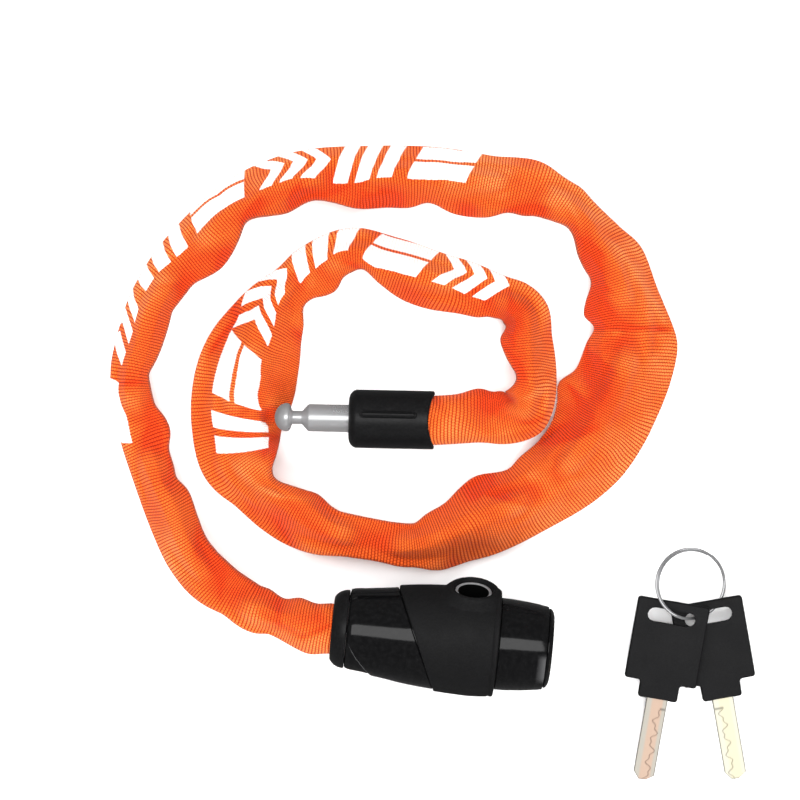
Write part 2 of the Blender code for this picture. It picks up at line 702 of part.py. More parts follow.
def make_wafer(mats, lock, k, place):
    """A flat wafer with a window for the key blade, free to move up and down in the plug."""
    half = WAFER_THICKNESS / 2
    low = (-half, -0.0025, -0.0049)
    high = (half, 0.0025, 0.0049)
    at = Matrix.Translation((place, 0, 0))
    wafer = add(f"wafer_{k + 1}", block(f"wafer_{k + 1}", low, high), mats["brass"], lock, at)
    window = block(f"wafer_window_{k + 1}", (-0.002, -0.0014, -0.0036), (0.002, 0.0014, 0.0036 - 0.0005 * k))
    cut(wafer, add(f"wafer_window_{k + 1}", window, None, lock, at))


def make_latch(mats, lock):
    profile = [
        (LATCH_TIP, 0), (LATCH_TIP, 0.0010), (LATCH_TIP + 0.0014, LATCH_RADIUS), (LATCH_END, LATCH_RADIUS),
        (LATCH_END, 0),
    ]
    add("latch_bolt", turned("latch_bolt", profile, 16), mats["steel"], lock)
    bm = bmesh.new()
    rings = []
    steps = 8 * SPRING_TURNS
    low = LATCH_END + 0.0002 + SPRING_WIRE
    high = PLUG_START - 0.0002 - SPRING_WIRE
    for k in range(steps + 1):
        angle = 2 * math.pi * k / 8
        out = Vector((0, math.cos(angle), math.sin(angle)))
        centre = Vector((low + (high - low) * k / steps, 0, 0)) + out * SPRING_RADIUS
        ring = []
        for j in range(5):
            turn = 2 * math.pi * j / 5
            offset = out * math.cos(turn) + Vector((1, 0, 0)) * math.sin(turn)
            ring.append(bm.verts.new(centre + offset * SPRING_WIRE))
        rings.append(ring)
    bridge_rings(bm, rings, closed=False)
    bm.faces.new(rings[0])
    bm.faces.new(rings[-1])
    add("latch_spring", finish_mesh(bm, "latch_spring"), mats["steel"], lock)


def make_lock_pins(mats, lock):
    pin = rod("chain_anchor_pin", -0.0108, 0.0108, 0.0022)
    add("chain_anchor_pin", pin, mats["steel"], lock, across_matrix(anchor_pin_place()))
    pin = rod("plug_retaining_pin", 0.0052, 0.0130, 0.0007, 12)
    add("plug_retaining_pin", pin, mats["steel"], lock, retainer_matrix())
    bushing = tube("socket_bushing", SOCKET_MOUTH - BUSHING_LENGTH - 0.0014, SOCKET_MOUTH - 0.0014,
                   BUSHING_OUTER, BUSHING_INNER, 24)
    add("socket_bushing", bushing, mats["steel"], lock, socket_matrix())


def make_lock(mats, lock):
    make_collar(mats, lock)
    make_shell(mats, lock)
    make_saddle(mats, lock)
    make_barrel(mats, lock)
    make_cap(mats, lock)
    make_core(mats, lock)
    make_plug(mats, lock)
    make_latch(mats, lock)
    make_lock_pins(mats, lock)


# ---------------------------------------------------------------- stud end


def make_ferrule(mats, stud):
    inner_end = FERRULE_LENGTH
    profile = [(0.0000, FERRULE_BORE), (0.0000, FERRULE_RADIUS - 0.0006), (0.0006, FERRULE_RADIUS)]
    for k in range(5):
        angle = math.pi / 2 * k / 4
        along = inner_end - FERRULE_CORNER * (1 - math.sin(angle))
        profile.append((along, FERRULE_RADIUS - FERRULE_CORNER * (1 - math.cos(angle))))
    shoulder = inner_end - 0.0100
    shank = STUD_SHANK + GAP
    profile += [(inner_end, shank), (shoulder, shank), (shoulder, FERRULE_BORE)]
    ferrule = add("stud_ferrule", turned("stud_ferrule", profile, closed=True), mats["satin"], stud)
    for k, side in enumerate((1, -1)):
        outline = stadium(MARK_LENGTH, MARK_WIDTH)
        groove = slab(f"ferrule_mark_{k}", outline, FERRULE_RADIUS - MARK_DEPTH, FERRULE_RADIUS + 0.001)
        turn = Matrix.Rotation(0 if side == 1 else math.pi, 4, "X")
        place = turn @ Matrix.Translation((0.0174, 0, 0))
        cut(ferrule, add(f"ferrule_mark_{k}", groove, None, stud, place))


def make_stud(mats, stud):
    tip = STUD_LENGTH
    profile = [(0.0130, 0), (0.0130, 0.0042), (0.0205, 0.0042), (0.0205, STUD_SHANK)]
    profile += [(tip - 0.0127, STUD_SHANK)]
    profile += [(tip - 0.0101, STUD_NECK), (tip - 0.0056, STUD_NECK), (tip - 0.0048, 0.0044)]
    profile += [(tip - 0.0042, STUD_HEAD - 0.0002), (tip - 0.0030, STUD_HEAD)]
    for k in range(1, 5):
        angle = math.pi / 2 * k / 4
        radius = STUD_HEAD * math.cos(angle) if k < 4 else 0
        profile.append((tip - 0.0030 + 0.0030 * math.sin(angle), radius))
    add("stud_bolt", turned("stud_bolt", profile, 24), mats["steel"], stud)


def make_clevis(mats, stud, pin_place):
    """The steel fork that joins the stud to the first flat link."""
    profile = [(0.0040, 0), (0.0040, 0.0080), (0.0055, CLEVIS_RADIUS), (0.0200, CLEVIS_RADIUS), (0.0200, 0)]
    clevis = add("end_clevis", turned("end_clevis", profile, 20), mats["zinc"], stud)
    reach = pin_place - 0.0036
    arms = block("clevis_arms", (reach, -0.0036, -0.0056), (0.010, 0.0036, 0.0056))
    cut(clevis, add("clevis_arms", arms, None, stud), "UNION")
    half_gap = WIRE / 2 + 0.0010
    fork = block("clevis_fork", (reach - 0.01, -0.0150, -half_gap), (0.0030, 0.0150, half_gap))
    cut(clevis, add("clevis_fork", fork, None, stud))
    cut(clevis, add("stud_seat", rod("stud_seat", 0.0125, 0.03, 0.0042 + GAP, 20), None, stud))
    across = Matrix.Translation((pin_place, 0, 0)) @ Matrix.Rotation(math.pi / 2, 4, "Y")
    hole = rod("clevis_pin_hole", -0.01, 0.01, CLEVIS_PIN_RADIUS + GAP)
    cut(clevis, add("clevis_pin_hole", hole, None, stud, across))
    add("clevis_pin", rod("clevis_pin", -0.0054, 0.0054, CLEVIS_PIN_RADIUS), mats["steel"], stud, across)


def make_stud_end(mats, span, pivots):
    location = Vector((*FERRULE_MOUTH, STUD_HEIGHT)) - span.location
    stud = empty("stud_frame", location, STUD_TURN, span)
    reach = Vector((*pivots[0], STUD_HEIGHT)) - Vector((*FERRULE_MOUTH, STUD_HEIGHT))
    pin_place = reach.x * math.cos(STUD_TURN) + reach.y * math.sin(STUD_TURN)
    make_ferrule(mats, stud)
    make_stud(mats, stud)
    make_clevis(mats, stud, pin_place)


# ---------------------------------------------------------------- keys


def ring_height(angle):
    """Height of the ring's wire: it dives through both key heads near angle 0, and climbs back behind."""
    size = abs(angle)
    if size <= RING_DIP:
        share = math.sin(math.pi / 2 * size / RING_DIP)
    elif size <= math.pi / 2:
        share = 1.0
    else:
        share = (1 + math.cos(2 * (size - math.pi / 2))) / 2
    return RING_MIDDLE - RING_LIFT * math.copysign(share, angle)


def ring_point(angle):
    x = RING_CENTRE[0] + RING_RADIUS * math.sin(angle)
    y = RING_CENTRE[1] - RING_RADIUS * math.cos(angle)
    return Vector((x, y, ring_height(angle)))


def make_ring(mats, parent):
    bm = bmesh.new()
    rings = []
    for k in range(RING_STEPS):
        angle = -math.pi + 2 * math.pi * (k + 0.5) / RING_STEPS
        centre = ring_point(angle)
        ahead = (ring_point(angle + 0.02) - ring_point(angle - 0.02)).normalized()
        out = Vector((math.sin(angle), -math.cos(angle), 0))
        up = out.cross(ahead).normalized()
        ring = []
        for j in range(RING_SIDES):
            turn = 2 * math.pi * j / RING_SIDES
            ring.append(bm.verts.new(centre + (out * math.cos(turn) + up * math.sin(turn)) * RING_WIRE))
        rings.append(ring)
    bridge_rings(bm, rings, closed=True)
    add("key_ring", finish_mesh(bm, "key_ring", 70), mats["steel"], parent)


def head_outline():
    wide = HEAD_WIDTH / 2
    narrow = NECK_WIDTH / 2
    right = [(wide, HEAD_TOP), (wide, HEAD_BOTTOM), (narrow, HEAD_BOTTOM), (narrow, NECK_BOTTOM)]
    corners = right + [(-x, y) for x, y in reversed(right)]
    return rounded_outline(corners, 0.0010, 2)


def blade_outline():
    half = BLADE_WIDTH / 2
    return [
        (-half, BLADE_ROOT), (-half, BLADE_TIP + 0.0028), (-half + 0.0022, BLADE_TIP),
        (half - 0.0030, BLADE_TIP), (half, BLADE_TIP + 0.0020), (half, BLADE_ROOT),
    ]


def make_key(mats, name, blade_finish, parent, slot, turn, swing):
    """One key: a flat steel blade moulded into a plastic head with a slot for the ring."""
    pivot = empty(f"{name}_pivot", (*swing, slot[2]), parent=parent)
    lay = Matrix.Translation(Vector(slot) - pivot.location)
    lay = lay @ Matrix.Rotation(turn, 4, "Z") @ Matrix.Rotation(KEY_TILT, 4, "X")
    half = HEAD_THICKNESS / 2
    plate = slab(f"{name}_head", head_outline(), -half, half, 0.0005)
    head = add(f"{name}_head", plate, mats["key_plastic"], pivot, lay)
    hole = slab(f"{name}_slot", stadium(SLOT_LENGTH, SLOT_WIDTH), -0.004, 0.004)
    cut(head, add(f"{name}_slot", hole, None, pivot, lay))
    thick = BLADE_THICKNESS / 2
    room_half = BLADE_WIDTH / 2 + 0.0002
    low = (-room_half, -0.04, -thick - 0.00015)
    high = (room_half, BLADE_ROOT + 0.0002, thick + 0.00015)
    cut(head, add(f"{name}_pocket", block(f"{name}_pocket", low, high), None, pivot, lay))
    blade = slab(f"{name}_blade", blade_outline(), -thick, thick, 0.0002)
    add(f"{name}_blade", blade, mats[blade_finish], pivot, lay)


def make_keys(mats, parent):
    make_ring(mats, parent)
    make_key(mats, "key_a", "nickel", parent, KEY_A_SLOT, KEY_A_TURN, KEY_A_SWING)
    make_key(mats, "key_b", "brass", parent, KEY_B_SLOT, KEY_B_TURN, KEY_B_SWING)


# ---------------------------------------------------------------- assembly


def main():
    clear_scene()
    mats = make_materials()
    whole = empty("lock_assembly", (*ORIGIN_SHIFT, 0))
    lock = empty("lock_frame", (*LOCK_NOSE, LOCK_AXIS_HEIGHT), LOCK_TURN, whole)
    pivots = chain_pivots()
    heights = chain_heights(pivots)
    spans = [empty("span_1_frame", (0, 0, 0), parent=whole)]
    for k, index in enumerate(BEND_PIVOTS):
        spans.append(empty(f"span_{k + 2}_frame", (*pivots[index], CHAIN_HEIGHT), parent=whole))
    make_lock(mats, lock)
    make_chain(mats, spans, pivots, heights)
    make_sleeve(mats, spans, pivots, heights)
    make_stud_end(mats, spans[-1], pivots)
    make_keys(mats, whole)


main()
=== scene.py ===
"""Looks of the sleeved chain lock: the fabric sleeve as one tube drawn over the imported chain, the trim of
the lock body, the latch's spring, the stud end, the split ring and the milled key blades, with a material
for every piece.

Everything is in metres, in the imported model's frame: +Z up, the floor at z = 0.
"""

import json
import math

import bmesh
import bpy
import numpy as np
from mathutils import Matrix, Vector, noise

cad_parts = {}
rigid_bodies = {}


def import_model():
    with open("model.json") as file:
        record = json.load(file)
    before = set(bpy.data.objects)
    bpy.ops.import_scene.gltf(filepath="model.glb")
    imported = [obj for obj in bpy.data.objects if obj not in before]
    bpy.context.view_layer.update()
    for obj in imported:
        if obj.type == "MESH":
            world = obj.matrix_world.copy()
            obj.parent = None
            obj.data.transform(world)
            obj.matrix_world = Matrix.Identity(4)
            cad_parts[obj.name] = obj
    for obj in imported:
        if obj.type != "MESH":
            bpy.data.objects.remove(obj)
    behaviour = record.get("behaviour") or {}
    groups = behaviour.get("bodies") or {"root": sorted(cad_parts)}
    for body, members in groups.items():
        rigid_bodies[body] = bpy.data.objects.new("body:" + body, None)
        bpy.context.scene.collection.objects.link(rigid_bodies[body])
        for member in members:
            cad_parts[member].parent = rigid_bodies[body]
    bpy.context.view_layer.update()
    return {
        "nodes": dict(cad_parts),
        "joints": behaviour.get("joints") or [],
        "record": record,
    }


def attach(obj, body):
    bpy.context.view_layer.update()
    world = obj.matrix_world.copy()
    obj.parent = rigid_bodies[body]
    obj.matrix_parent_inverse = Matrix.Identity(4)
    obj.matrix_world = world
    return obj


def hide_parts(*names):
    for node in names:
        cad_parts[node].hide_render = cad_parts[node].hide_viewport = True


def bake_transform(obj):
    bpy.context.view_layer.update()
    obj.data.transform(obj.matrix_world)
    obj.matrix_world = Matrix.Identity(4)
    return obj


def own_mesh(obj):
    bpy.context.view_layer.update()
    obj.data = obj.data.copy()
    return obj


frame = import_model()

# View: straight down on the lock, with a long lens
VIEW_CENTRE = (-0.01125, 0.02384)
VIEW_WIDTH = 0.304
CAMERA_HEIGHT = 1.30
SENSOR_WIDTH = 36.0

# The sleeve's route on the floor, from inside the lock's nose to inside the ferrule
ORIGIN_SHIFT = (0.0011, -0.0001)
ROUTE = (
    (-0.0200, -0.0632), (-0.0290, -0.0624), (-0.0374, -0.0616), (-0.0450, -0.0610), (-0.0541, -0.0593),
    (-0.0690, -0.0547), (-0.0813, -0.0473), (-0.0909, -0.0356), (-0.0971, -0.0240), (-0.1015, -0.0130),
    (-0.1063, -0.0010), (-0.1108, 0.0126), (-0.1147, 0.0281), (-0.1126, 0.0416), (-0.1070, 0.0576),
    (-0.0984, 0.0722), (-0.0882, 0.0833), (-0.0747, 0.0965), (-0.0600, 0.1045), (-0.0458, 0.1081),
    (-0.0245, 0.1090), (-0.0013, 0.1086), (0.0192, 0.1063), (0.0363, 0.1037), (0.0522, 0.0975),
    (0.0640, 0.0852), (0.0710, 0.0688), (0.0743, 0.0504), (0.0728, 0.0337), (0.0660, 0.0165),
    (0.0535, 0.0005), (0.0378, -0.0115), (0.0205, -0.0208), (0.0044, -0.0280), (-0.0101, -0.0316),
    (-0.0245, -0.0298), (-0.0390, -0.0256), (-0.0538, -0.0190), (-0.0660, -0.0083), (-0.0742, 0.0050),
    (-0.0758, 0.0191), (-0.0732, 0.0355), (-0.0664, 0.0502), (-0.0582, 0.0632), (-0.0450, 0.0739),
    (-0.0310, 0.0806), (-0.0156, 0.0767), (0.0029, 0.0693), (0.0200, 0.0645), (0.0310, 0.0616),
    (0.0360, 0.0570), (0.0366, 0.0460), (0.0368, 0.0330), (0.0368, 0.0235), (0.0345, 0.0186),
    (0.0250, 0.0175), (0.0080, 0.0166), (0.0002, 0.0163), (-0.0060, 0.0163),
)

# How far the sleeve's outer and inner edges lie from the route: (along the route, outer, inner), in mm.
# The inner edge is longer than its path, so it gathers: each dip in it is a fold.
EDGES_MM = (
    (14, 9.3, 9.3), (20, 9.6, 9.4), (25, 10.4, 8.8), (32, 8.4, 10.0), (38, 6.6, 7.8), (46, 5.6, 9.9),
    (54, 5.4, 8.2), (64, 7.5, 5.3), (72, 8.9, 9.0), (84, 9.2, 8.6), (96, 9.0, 9.4), (104, 9.0, 9.4),
    (113, 8.4, 5.8), (120, 8.2, 7.2), (128, 8.1, 11.0), (136, 7.6, 9.8), (144, 6.6, 6.0), (149, 6.4, 5.2),
    (156, 7.8, 7.2), (164, 8.4, 8.9), (176, 9.2, 8.8), (188, 9.6, 6.6), (196, 10.0, 8.6),
    (208, 10.8, 12.4), (216, 10.8, 11.8), (224, 10.6, 9.4), (230, 10.6, 6.6), (240, 10.6, 9.4),
    (248, 10.6, 11.0), (260, 10.8, 8.6), (268, 11.0, 10.0), (278, 11.2, 12.6), (290, 11.3, 12.2),
    (299, 11.4, 12.2), (306, 11.4, 9.8), (316, 11.2, 13.2), (330, 10.4, 12.9), (337, 11.0, 10.2),
    (345, 11.3, 10.2), (354, 8.1, 6.8), (360, 7.2, 7.0), (368, 6.4, 7.6), (378, 8.2, 11.1),
    (386, 11.8, 11.3), (392, 12.5, 10.4), (400, 12.9, 14.6), (407, 14.5, 16.4), (412, 16.2, 12.8),
    (419, 18.6, 15.8), (427, 18.0, 17.4), (435, 17.2, 18.6), (443, 16.7, 22.4), (448, 16.8, 22.4),
    (453, 16.9, 20.2), (463, 17.2, 16.8), (475, 16.2, 14.9), (487, 14.9, 14.1), (493, 14.4, 12.6),
    (506, 14.2, 16.2),
    (514, 13.6, 14.8), (522, 12.0, 12.0), (532, 11.4, 10.4), (541, 7.4, 6.8), (552, 6.2, 7.0),
    (562, 6.9, 7.5), (574, 10.2, 8.8), (582, 11.1, 11.4), (592, 11.3, 9.6), (604, 11.8, 6.4),
    (610, 14.0, 12.4), (616, 15.4, 16.2), (626, 15.4, 19.0), (638, 16.0, 22.0), (650, 16.0, 22.6),
    (662, 15.0, 20.4), (672, 12.5, 16.8), (680, 10.0, 14.2), (689, 7.8, 8.2), (697, 9.0, 11.2),
    (704, 9.0, 11.6), (713, 8.4, 6.6), (721, 8.6, 6.6), (729, 9.0, 9.5), (739, 9.6, 12.2), (749, 10.0, 12.0),
    (761, 10.0, 10.2), (770, 8.6, 9.6), (777, 7.2, 6.0), (784, 7.2, 9.8), (790, 8.2, 9.6), (796, 8.6, 11.2),
    (805, 9.9, 8.6), (813, 10.2, 4.2), (821, 9.5, 3.6), (827, 9.5, 6.4), (835, 10.6, 8.6), (843, 9.2, 11.4),
    (851, 9.2, 9.6), (857, 9.3, 9.3), (868, 9.3, 9.3),
)

# The sleeve's mesh, how it hangs over the chain, and its weave. Its pieces meet halfway between two hinges,
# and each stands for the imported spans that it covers. Lumps are given as their size and height.
SLEEVE_START = 0.0150
SLEEVE_STOP = 0.8660
RING_STEP = 0.0009
RING_POINTS = 84
FLOOR_GAP = 0.0003
AXIS_OVER_FLOOR = 0.0080
OVER_LINK = 0.0010
BESIDE_LINK = 0.0011
SAME_STRAND = 0.030
AWAY_BLEND = 0.0016
TALL_BLEND = 0.0022
CLOTH_SLOPE = 1.3
LINK_SHOULDER = 0.0005
EDGE_RISE = 0.0030
LEAST_RISE = 0.0022
DRAPE_START = 0.0014
HOLLOW_DEPTH = 0.0022
CREASE_DEPTH = 0.0011
CREASE_STEP = 0.0009
CLEARED_FROM = 0.0040
# Valley depth sets how strongly the cloth's valleys take painted shade.
VALLEY_DEPTH = 0.0011
CHAIN_WITHIN = ((0.030, 0.045), (0.842, 0.852))
NOSE_ROUND = (0.0180, 0.0440)
MOUTH_ROUND = (0.8380, 0.8570)
END_RADIUS = 0.0089
NOSE_HEIGHT = 0.0202
STUD_HEIGHT = 0.0110
LUMPS = ((0.0130, 0.0013), (0.0055, 0.0006))
GATHER_SLANT = 0.6
GATHER_DEPTHS = (0.0009, 0.0016)
GATHER_REACHES = (0.45, 0.9)
PIECE_SPANS = ((1,), (2,), (3,), (4,), (5, 6))
HINGE_REACH = 0.011
RIB_PITCH = 0.00118
STITCH_PITCH = 0.00110

# The printed band: (along the route, how far it is turned past the outer edge, its width), in mm.
# It's printed in two stretches of cells, each with leaning bars, two stripes or arrow heads in it.
BAND_MM = (
    (0, -12, 17), (100, -12, 17), (112, -10, 18), (128, -7, 18), (151, -6.5, 18), (188, -6.5, 18),
    (208, -4, 18), (232, -3.5, 18), (262, -1, 19.5), (330, 0, 20), (404, 3, 20), (564, 6, 23),
    (624, 9, 24), (654, 8.5, 22), (672, 4.5, 20), (689, 0, 17), (712, 0, 17), (722, 0.5, 19.5),
    (743, 0.5, 19.5), (770, 0.5, 18), (868, 0, 17),
)
BAND_WIDTH = 0.0200
BAND_STRETCHES = ((0.1282, 0.3256), (0.6196, 0.7795))
BAND_CELL = 0.0282
BAND_FIRST = 0.0153
BAND_LEAN = 0.30
BAR_WIDTH = 0.0056
BAR_STARTS = (0.0056, 0.0140, 0.0224)
STRIPES = ((0.0008, 0.0087), (0.0105, 0.0193))
STRIPE_ENDS = (0.0056, 0.0278)
ARROW_WIDTH = 0.0050
ARROW_STARTS = (0.0066, 0.0147, 0.0228)
ARROW_LEAN = 0.72
PRINT_MARGINS = (0.0008, BAND_WIDTH - 0.0007)
PRINT_BORDER = 0.00022

# The cloth's soft hollows: (along the route, towards the outer side, half length, half width, slant, depth),
# and its sharp creases: (along, outward) at each end, half width and strength. In mm.
HOLLOWS_MM = (
    (28, -3, 6, 2.6, 0.4, 0.8), (44, -6, 4, 2.5, -0.8, 0.6), (76, -6, 8, 3.0, 0.3, 0.9),
    (101, 5, 6, 2.2, 0.0, 0.7), (112, -2, 4, 4, 0.7, 0.5), (127, -5, 6, 3, -0.6, 0.7),
    (152, 0, 3.2, 5, 0.2, 0.6), (172, -4, 9, 3, 0.4, 0.6), (193, -7, 6, 3, -0.5, 0.6),
    (236, -5, 7, 2.6, 0.5, 0.9), (256, -6, 5, 2.4, -0.5, 0.9), (287, -9, 9, 2.5, 0.2, 0.6),
    (318, -10, 8, 2.4, 0.0, 0.6), (345, -8, 8, 2.4, 0.3, 0.9), (373, -6, 8, 3.2, -0.5, 1.0),
    (388, -9, 6, 3.6, 0.4, 0.9), (404, -12, 6, 4.0, 0.4, 1.0), (420, -2, 4, 10, -0.1, 0.7),
    (434, -11, 9, 5.5, 0.3, 0.9), (452, -9, 11, 6, -0.5, 1.0), (470, -12, 6, 3.5, -0.6, 1.0),
    (498, -6, 4, 6, -0.8, 0.6), (508, -12, 7, 3, 0.2, 0.6), (532, 7, 12, 3, 0.1, 0.2),
    (566, 4, 16, 4, 0.1, 0.6), (585, 5, 12, 4, -0.2, 0.6), (598, 8, 8, 3, 0.0, 0.6),
    (613, -13, 5, 5, 0.4, 1.0), (640, 12, 14, 3, 0.0, 0.5), (660, 11, 14, 3, 0.1, 0.8),
    (714, -2, 4, 3.0, -0.5, 0.9), (742, -8, 8, 2.6, 0.3, 0.5), (783, -2, 3.4, 3.4, 0.2, 1.2),
    (790, -6, 4, 3, 0.6, 0.9), (806, -4, 8, 2.4, 0.3, 0.7), (828, 7, 3.4, 3, -0.3, 1.0),
    (838, -6, 6, 3, 0.4, 0.6),
)
CREASES_MM = (
    (17, -2, 28, 4, 1.0, 0.7), (28, 4, 46, -1, 1.0, 0.6), (40, -8, 37, 2, 0.8, 0.6),
    (66, -6, 60, 3, 0.9, 0.4), (75, 0, 88, -7, 1.0, 0.4), (108, -4, 122, -9, 1.0, 0.5),
    (120, 4, 131, -4, 1.0, 0.4), (150, 5, 151, -5, 0.7, 0.9), (187, 3, 193, -5, 0.9, 0.5),
    (228, -7, 240, -2, 0.9, 0.8), (250, -8, 256, -2, 0.9, 0.8), (262, -8, 275, -4, 0.9, 0.4),
    (336, -10, 352, -5, 0.9, 0.7), (352, 3, 372, -5, 1.1, -0.6), (372, -8, 384, -3, 0.9, 0.8),
    (375, 0, 401, 9, 1.2, -0.6), (390, -12, 398, -5, 0.9, 0.8), (401, 9, 412, 14, 1.1, -0.5),
    (415, 15, 413, -13, 0.7, 1.3), (425, -15, 432, -4, 0.9, 0.7), (444, -18, 452, -6, 1.0, 0.8),
    (455, -2, 476, -15, 1.1, 1.2), (494, 2, 505, -8, 0.8, 0.9), (500, -13, 511, -9, 0.9, 0.6),
    (528, 12, 541, 6, 1.0, 0.2), (560, 6, 588, -2, 1.3, 0.4), (582, -9, 602, 0, 1.2, -0.6),
    (602, 0, 618, 4, 1.1, -0.5), (608, -9, 618, -18, 0.9, 0.9), (612, -8, 622, -13, 0.8, 0.7),
    (654, 13, 672, 8, 1.0, 0.8), (697, 6, 712, -2, 1.0, 0.5), (712, -4, 722, -8, 0.8, 0.8),
    (755, 4, 772, -2, 1.0, 0.3), (777, 3, 784, -7, 0.9, 1.0), (786, -8, 800, -6, 0.9, 0.8),
    (800, -9, 812, -2, 0.9, 0.7), (813, 9, 822, -3, 1.1, -0.8), (822, 8, 830, 2, 0.8, 1.0),
    (826, -6, 838, -9, 0.9, 0.5),
)

# The fabric's bump, and its colours: ribs in flat cloth, with painted light on lit cloth and painted shade in
# folded cloth, the gaps between them, also in painted shade, painted shade along the tube's edges, a glow of
# painted light, and the print
FABRIC_BUMP = 0.00042
FABRIC_CREST = (0.72, 0.126, 0.019)
FABRIC_CREST_PAINTED_LIGHT = (0.78, 0.225, 0.058)
FABRIC_CREST_PAINTED_SHADE = (0.68, 0.048, 0.0075)
FABRIC_GAP = (0.27, 0.021, 0.003)
FABRIC_GAP_PAINTED_SHADE = (0.20, 0.007, 0.0012)
FABRIC_EDGE_SHADE = (0.22, 0.075, 0.035)
# A faint orange glow of the cloth: painted light that lifts its shade.
PAINTED_GLOW_COLOUR = (1.0, 0.085, 0.004, 1.0)
PAINTED_GLOW_STRENGTH = 0.09
PRINT_WHITE = (0.86, 0.855, 0.84)

# Lock body, along its own axis from the nose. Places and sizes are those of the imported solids.
LOCK_NOSE = (-0.0378, -0.0612, 0.0202)
LOCK_TURN = math.radians(-5.5)
LATHE_STEPS = 160
TURNS = 2 * math.pi * np.arange(LATHE_STEPS) / LATHE_STEPS
COSINE, SINE = np.cos(TURNS), np.sin(TURNS)
BODY_PLACES = (0.0, 0.006, 0.012, 0.020, 0.028, 0.036, 0.046, 0.054, 0.062)
BODY_RADII = (0.0120, 0.0150, 0.0158, 0.0168, 0.0180, 0.0188, 0.0194, 0.0196, 0.0190)
COLLAR_END = 0.0056
SHELL_START = 0.00572
SHELL_END = 0.0615
SHELL_LIFT = 0.0002
SHELL_SINK = 0.0009
SEAM_REACH = 0.0106
SEAM_STEP = 0.00065
SADDLE_END = 0.0620
SADDLE_STEP = 0.0009
SADDLE_SKIN = 0.0014
SADDLE_GROOVE_AT = SADDLE_END - 0.0017
SADDLE_GROOVE_WIDTH = 0.00022
SADDLE_GROOVE_DEPTH = 0.00028
SADDLE_EDGE_AT_AXIS = 0.0315
SADDLE_EDGE_SLOPE = -0.42
REST_FLAT_HEIGHT = 0.0202
SOCKET_AT = 0.0512
SOCKET_RISE = math.radians(25)
SOCKET_MOUTH = 0.0226
SOCKET_FLOOR = 0.0100
HUMP_RADIUS = 0.0098
HUMP_FILLET = (0.0016, 0.0030)
HUMP_MOUTH_RADIUS = 0.0072
BUSHING_OUTER = 0.0068
BUSHING_INNER = 0.0057
BUSHING_LENGTH = 0.0080
BUSHING_FACE = SOCKET_MOUTH - 0.0014
CUT_ROOM = 0.0003
SPRING_START = 0.0602
SPRING_END = 0.0638
SPRING_RADIUS = 0.0016
SPRING_WIRE = 0.00035
SPRING_TURNS = 4
CAP_HOLE = 0.0063
BARREL_END_RADIUS = 0.0155
# Where the painted glint on the barrel's rear edge starts
BARREL_GLINT_START = 0.0797

# Stud end, along its own axis from the ferrule's mouth
FERRULE_MOUTH = (0.0006, 0.0163, 0.0110)
STUD_TURN = math.radians(180 - 1.2)
FERRULE_RADIUS = 0.0110
FERRULE_LENGTH = 0.0323
FERRULE_BORE = 0.0097
FERRULE_ROWS = 190
FERRULE_CORNER = 0.0031
FERRULE_DOME = 0.0042
MOUTH_SCOOP = 0.0024
MARK_AT = 0.0174
MARK_LENGTH = 0.0212
MARK_WIDTH = 0.0026
MARK_DEPTH = 0.0005
MARK_TURN = math.radians(-10)
STUD_SHANK = 0.00515
STUD_NECK = 0.0025
STUD_HEAD = 0.00535
STUD_LENGTH = 0.0602
STUD_DOME = 0.0046
STUD_TIP = (-0.0585, 0.0175)
STUD_MOUTH = (0.0017, 0.0162)
UNDER_STUD = 0.0006

# Keys and split ring
KEY_TILT = math.radians(2.4)
KEY_A_SLOT = (0.0903, -0.0581, 0.0071)
KEY_A_TURN = math.radians(-9.9)
KEY_B_SLOT = (0.1045, -0.0581, 0.0038)
KEY_B_TURN = math.radians(10.0)
MILL_DEPTH = 0.00052
MILL_WAVE = 0.0075
BLADE_COLUMNS = 44
BLADE_ROWS = 150
BLADE_WIDTH = 0.0080
BLADE_THICKNESS = 0.0020
BLADE_TIP = -0.0625
LEFT_CORNER = (0.0028, 0.0022)
RIGHT_CORNER = (0.0020, 0.0030)
BLADE_ROOT = -0.0160
BLADE_MILL_ROOT = -0.0345
RING_CENTRE = (0.0977, -0.0457)
RING_RADIUS = 0.0131
RING_MIDDLE = 0.00560
RING_LIFT = 0.0045
RING_DIP = math.radians(30)
RING_STEPS = 420
RING_START = math.radians(150)
RING_TURNS = 2 * 0.992
RING_COIL_RISE = 0.00036
RING_COIL_HALF = 0.00036
RING_COIL_WIDE = 0.00052
RING_LEAN = math.radians(-130)

# Colours, and the lights: name, place, size, power, aim, and whether it shows in reflections
GLOSS_BLACK = (0.0018, 0.0018, 0.0020)
SATIN_BLACK = (0.0034, 0.0034, 0.0036)
SOFT_BLACK = (0.0038, 0.0038, 0.0040)
KEY_HEAD_BLACK = (0.0048, 0.0048, 0.0051)
STEEL = (0.64, 0.64, 0.65)
# Painted shade for the inside of the socket's bushing.
BORE_PAINTED_SHADE = (0.010, 0.010, 0.010)
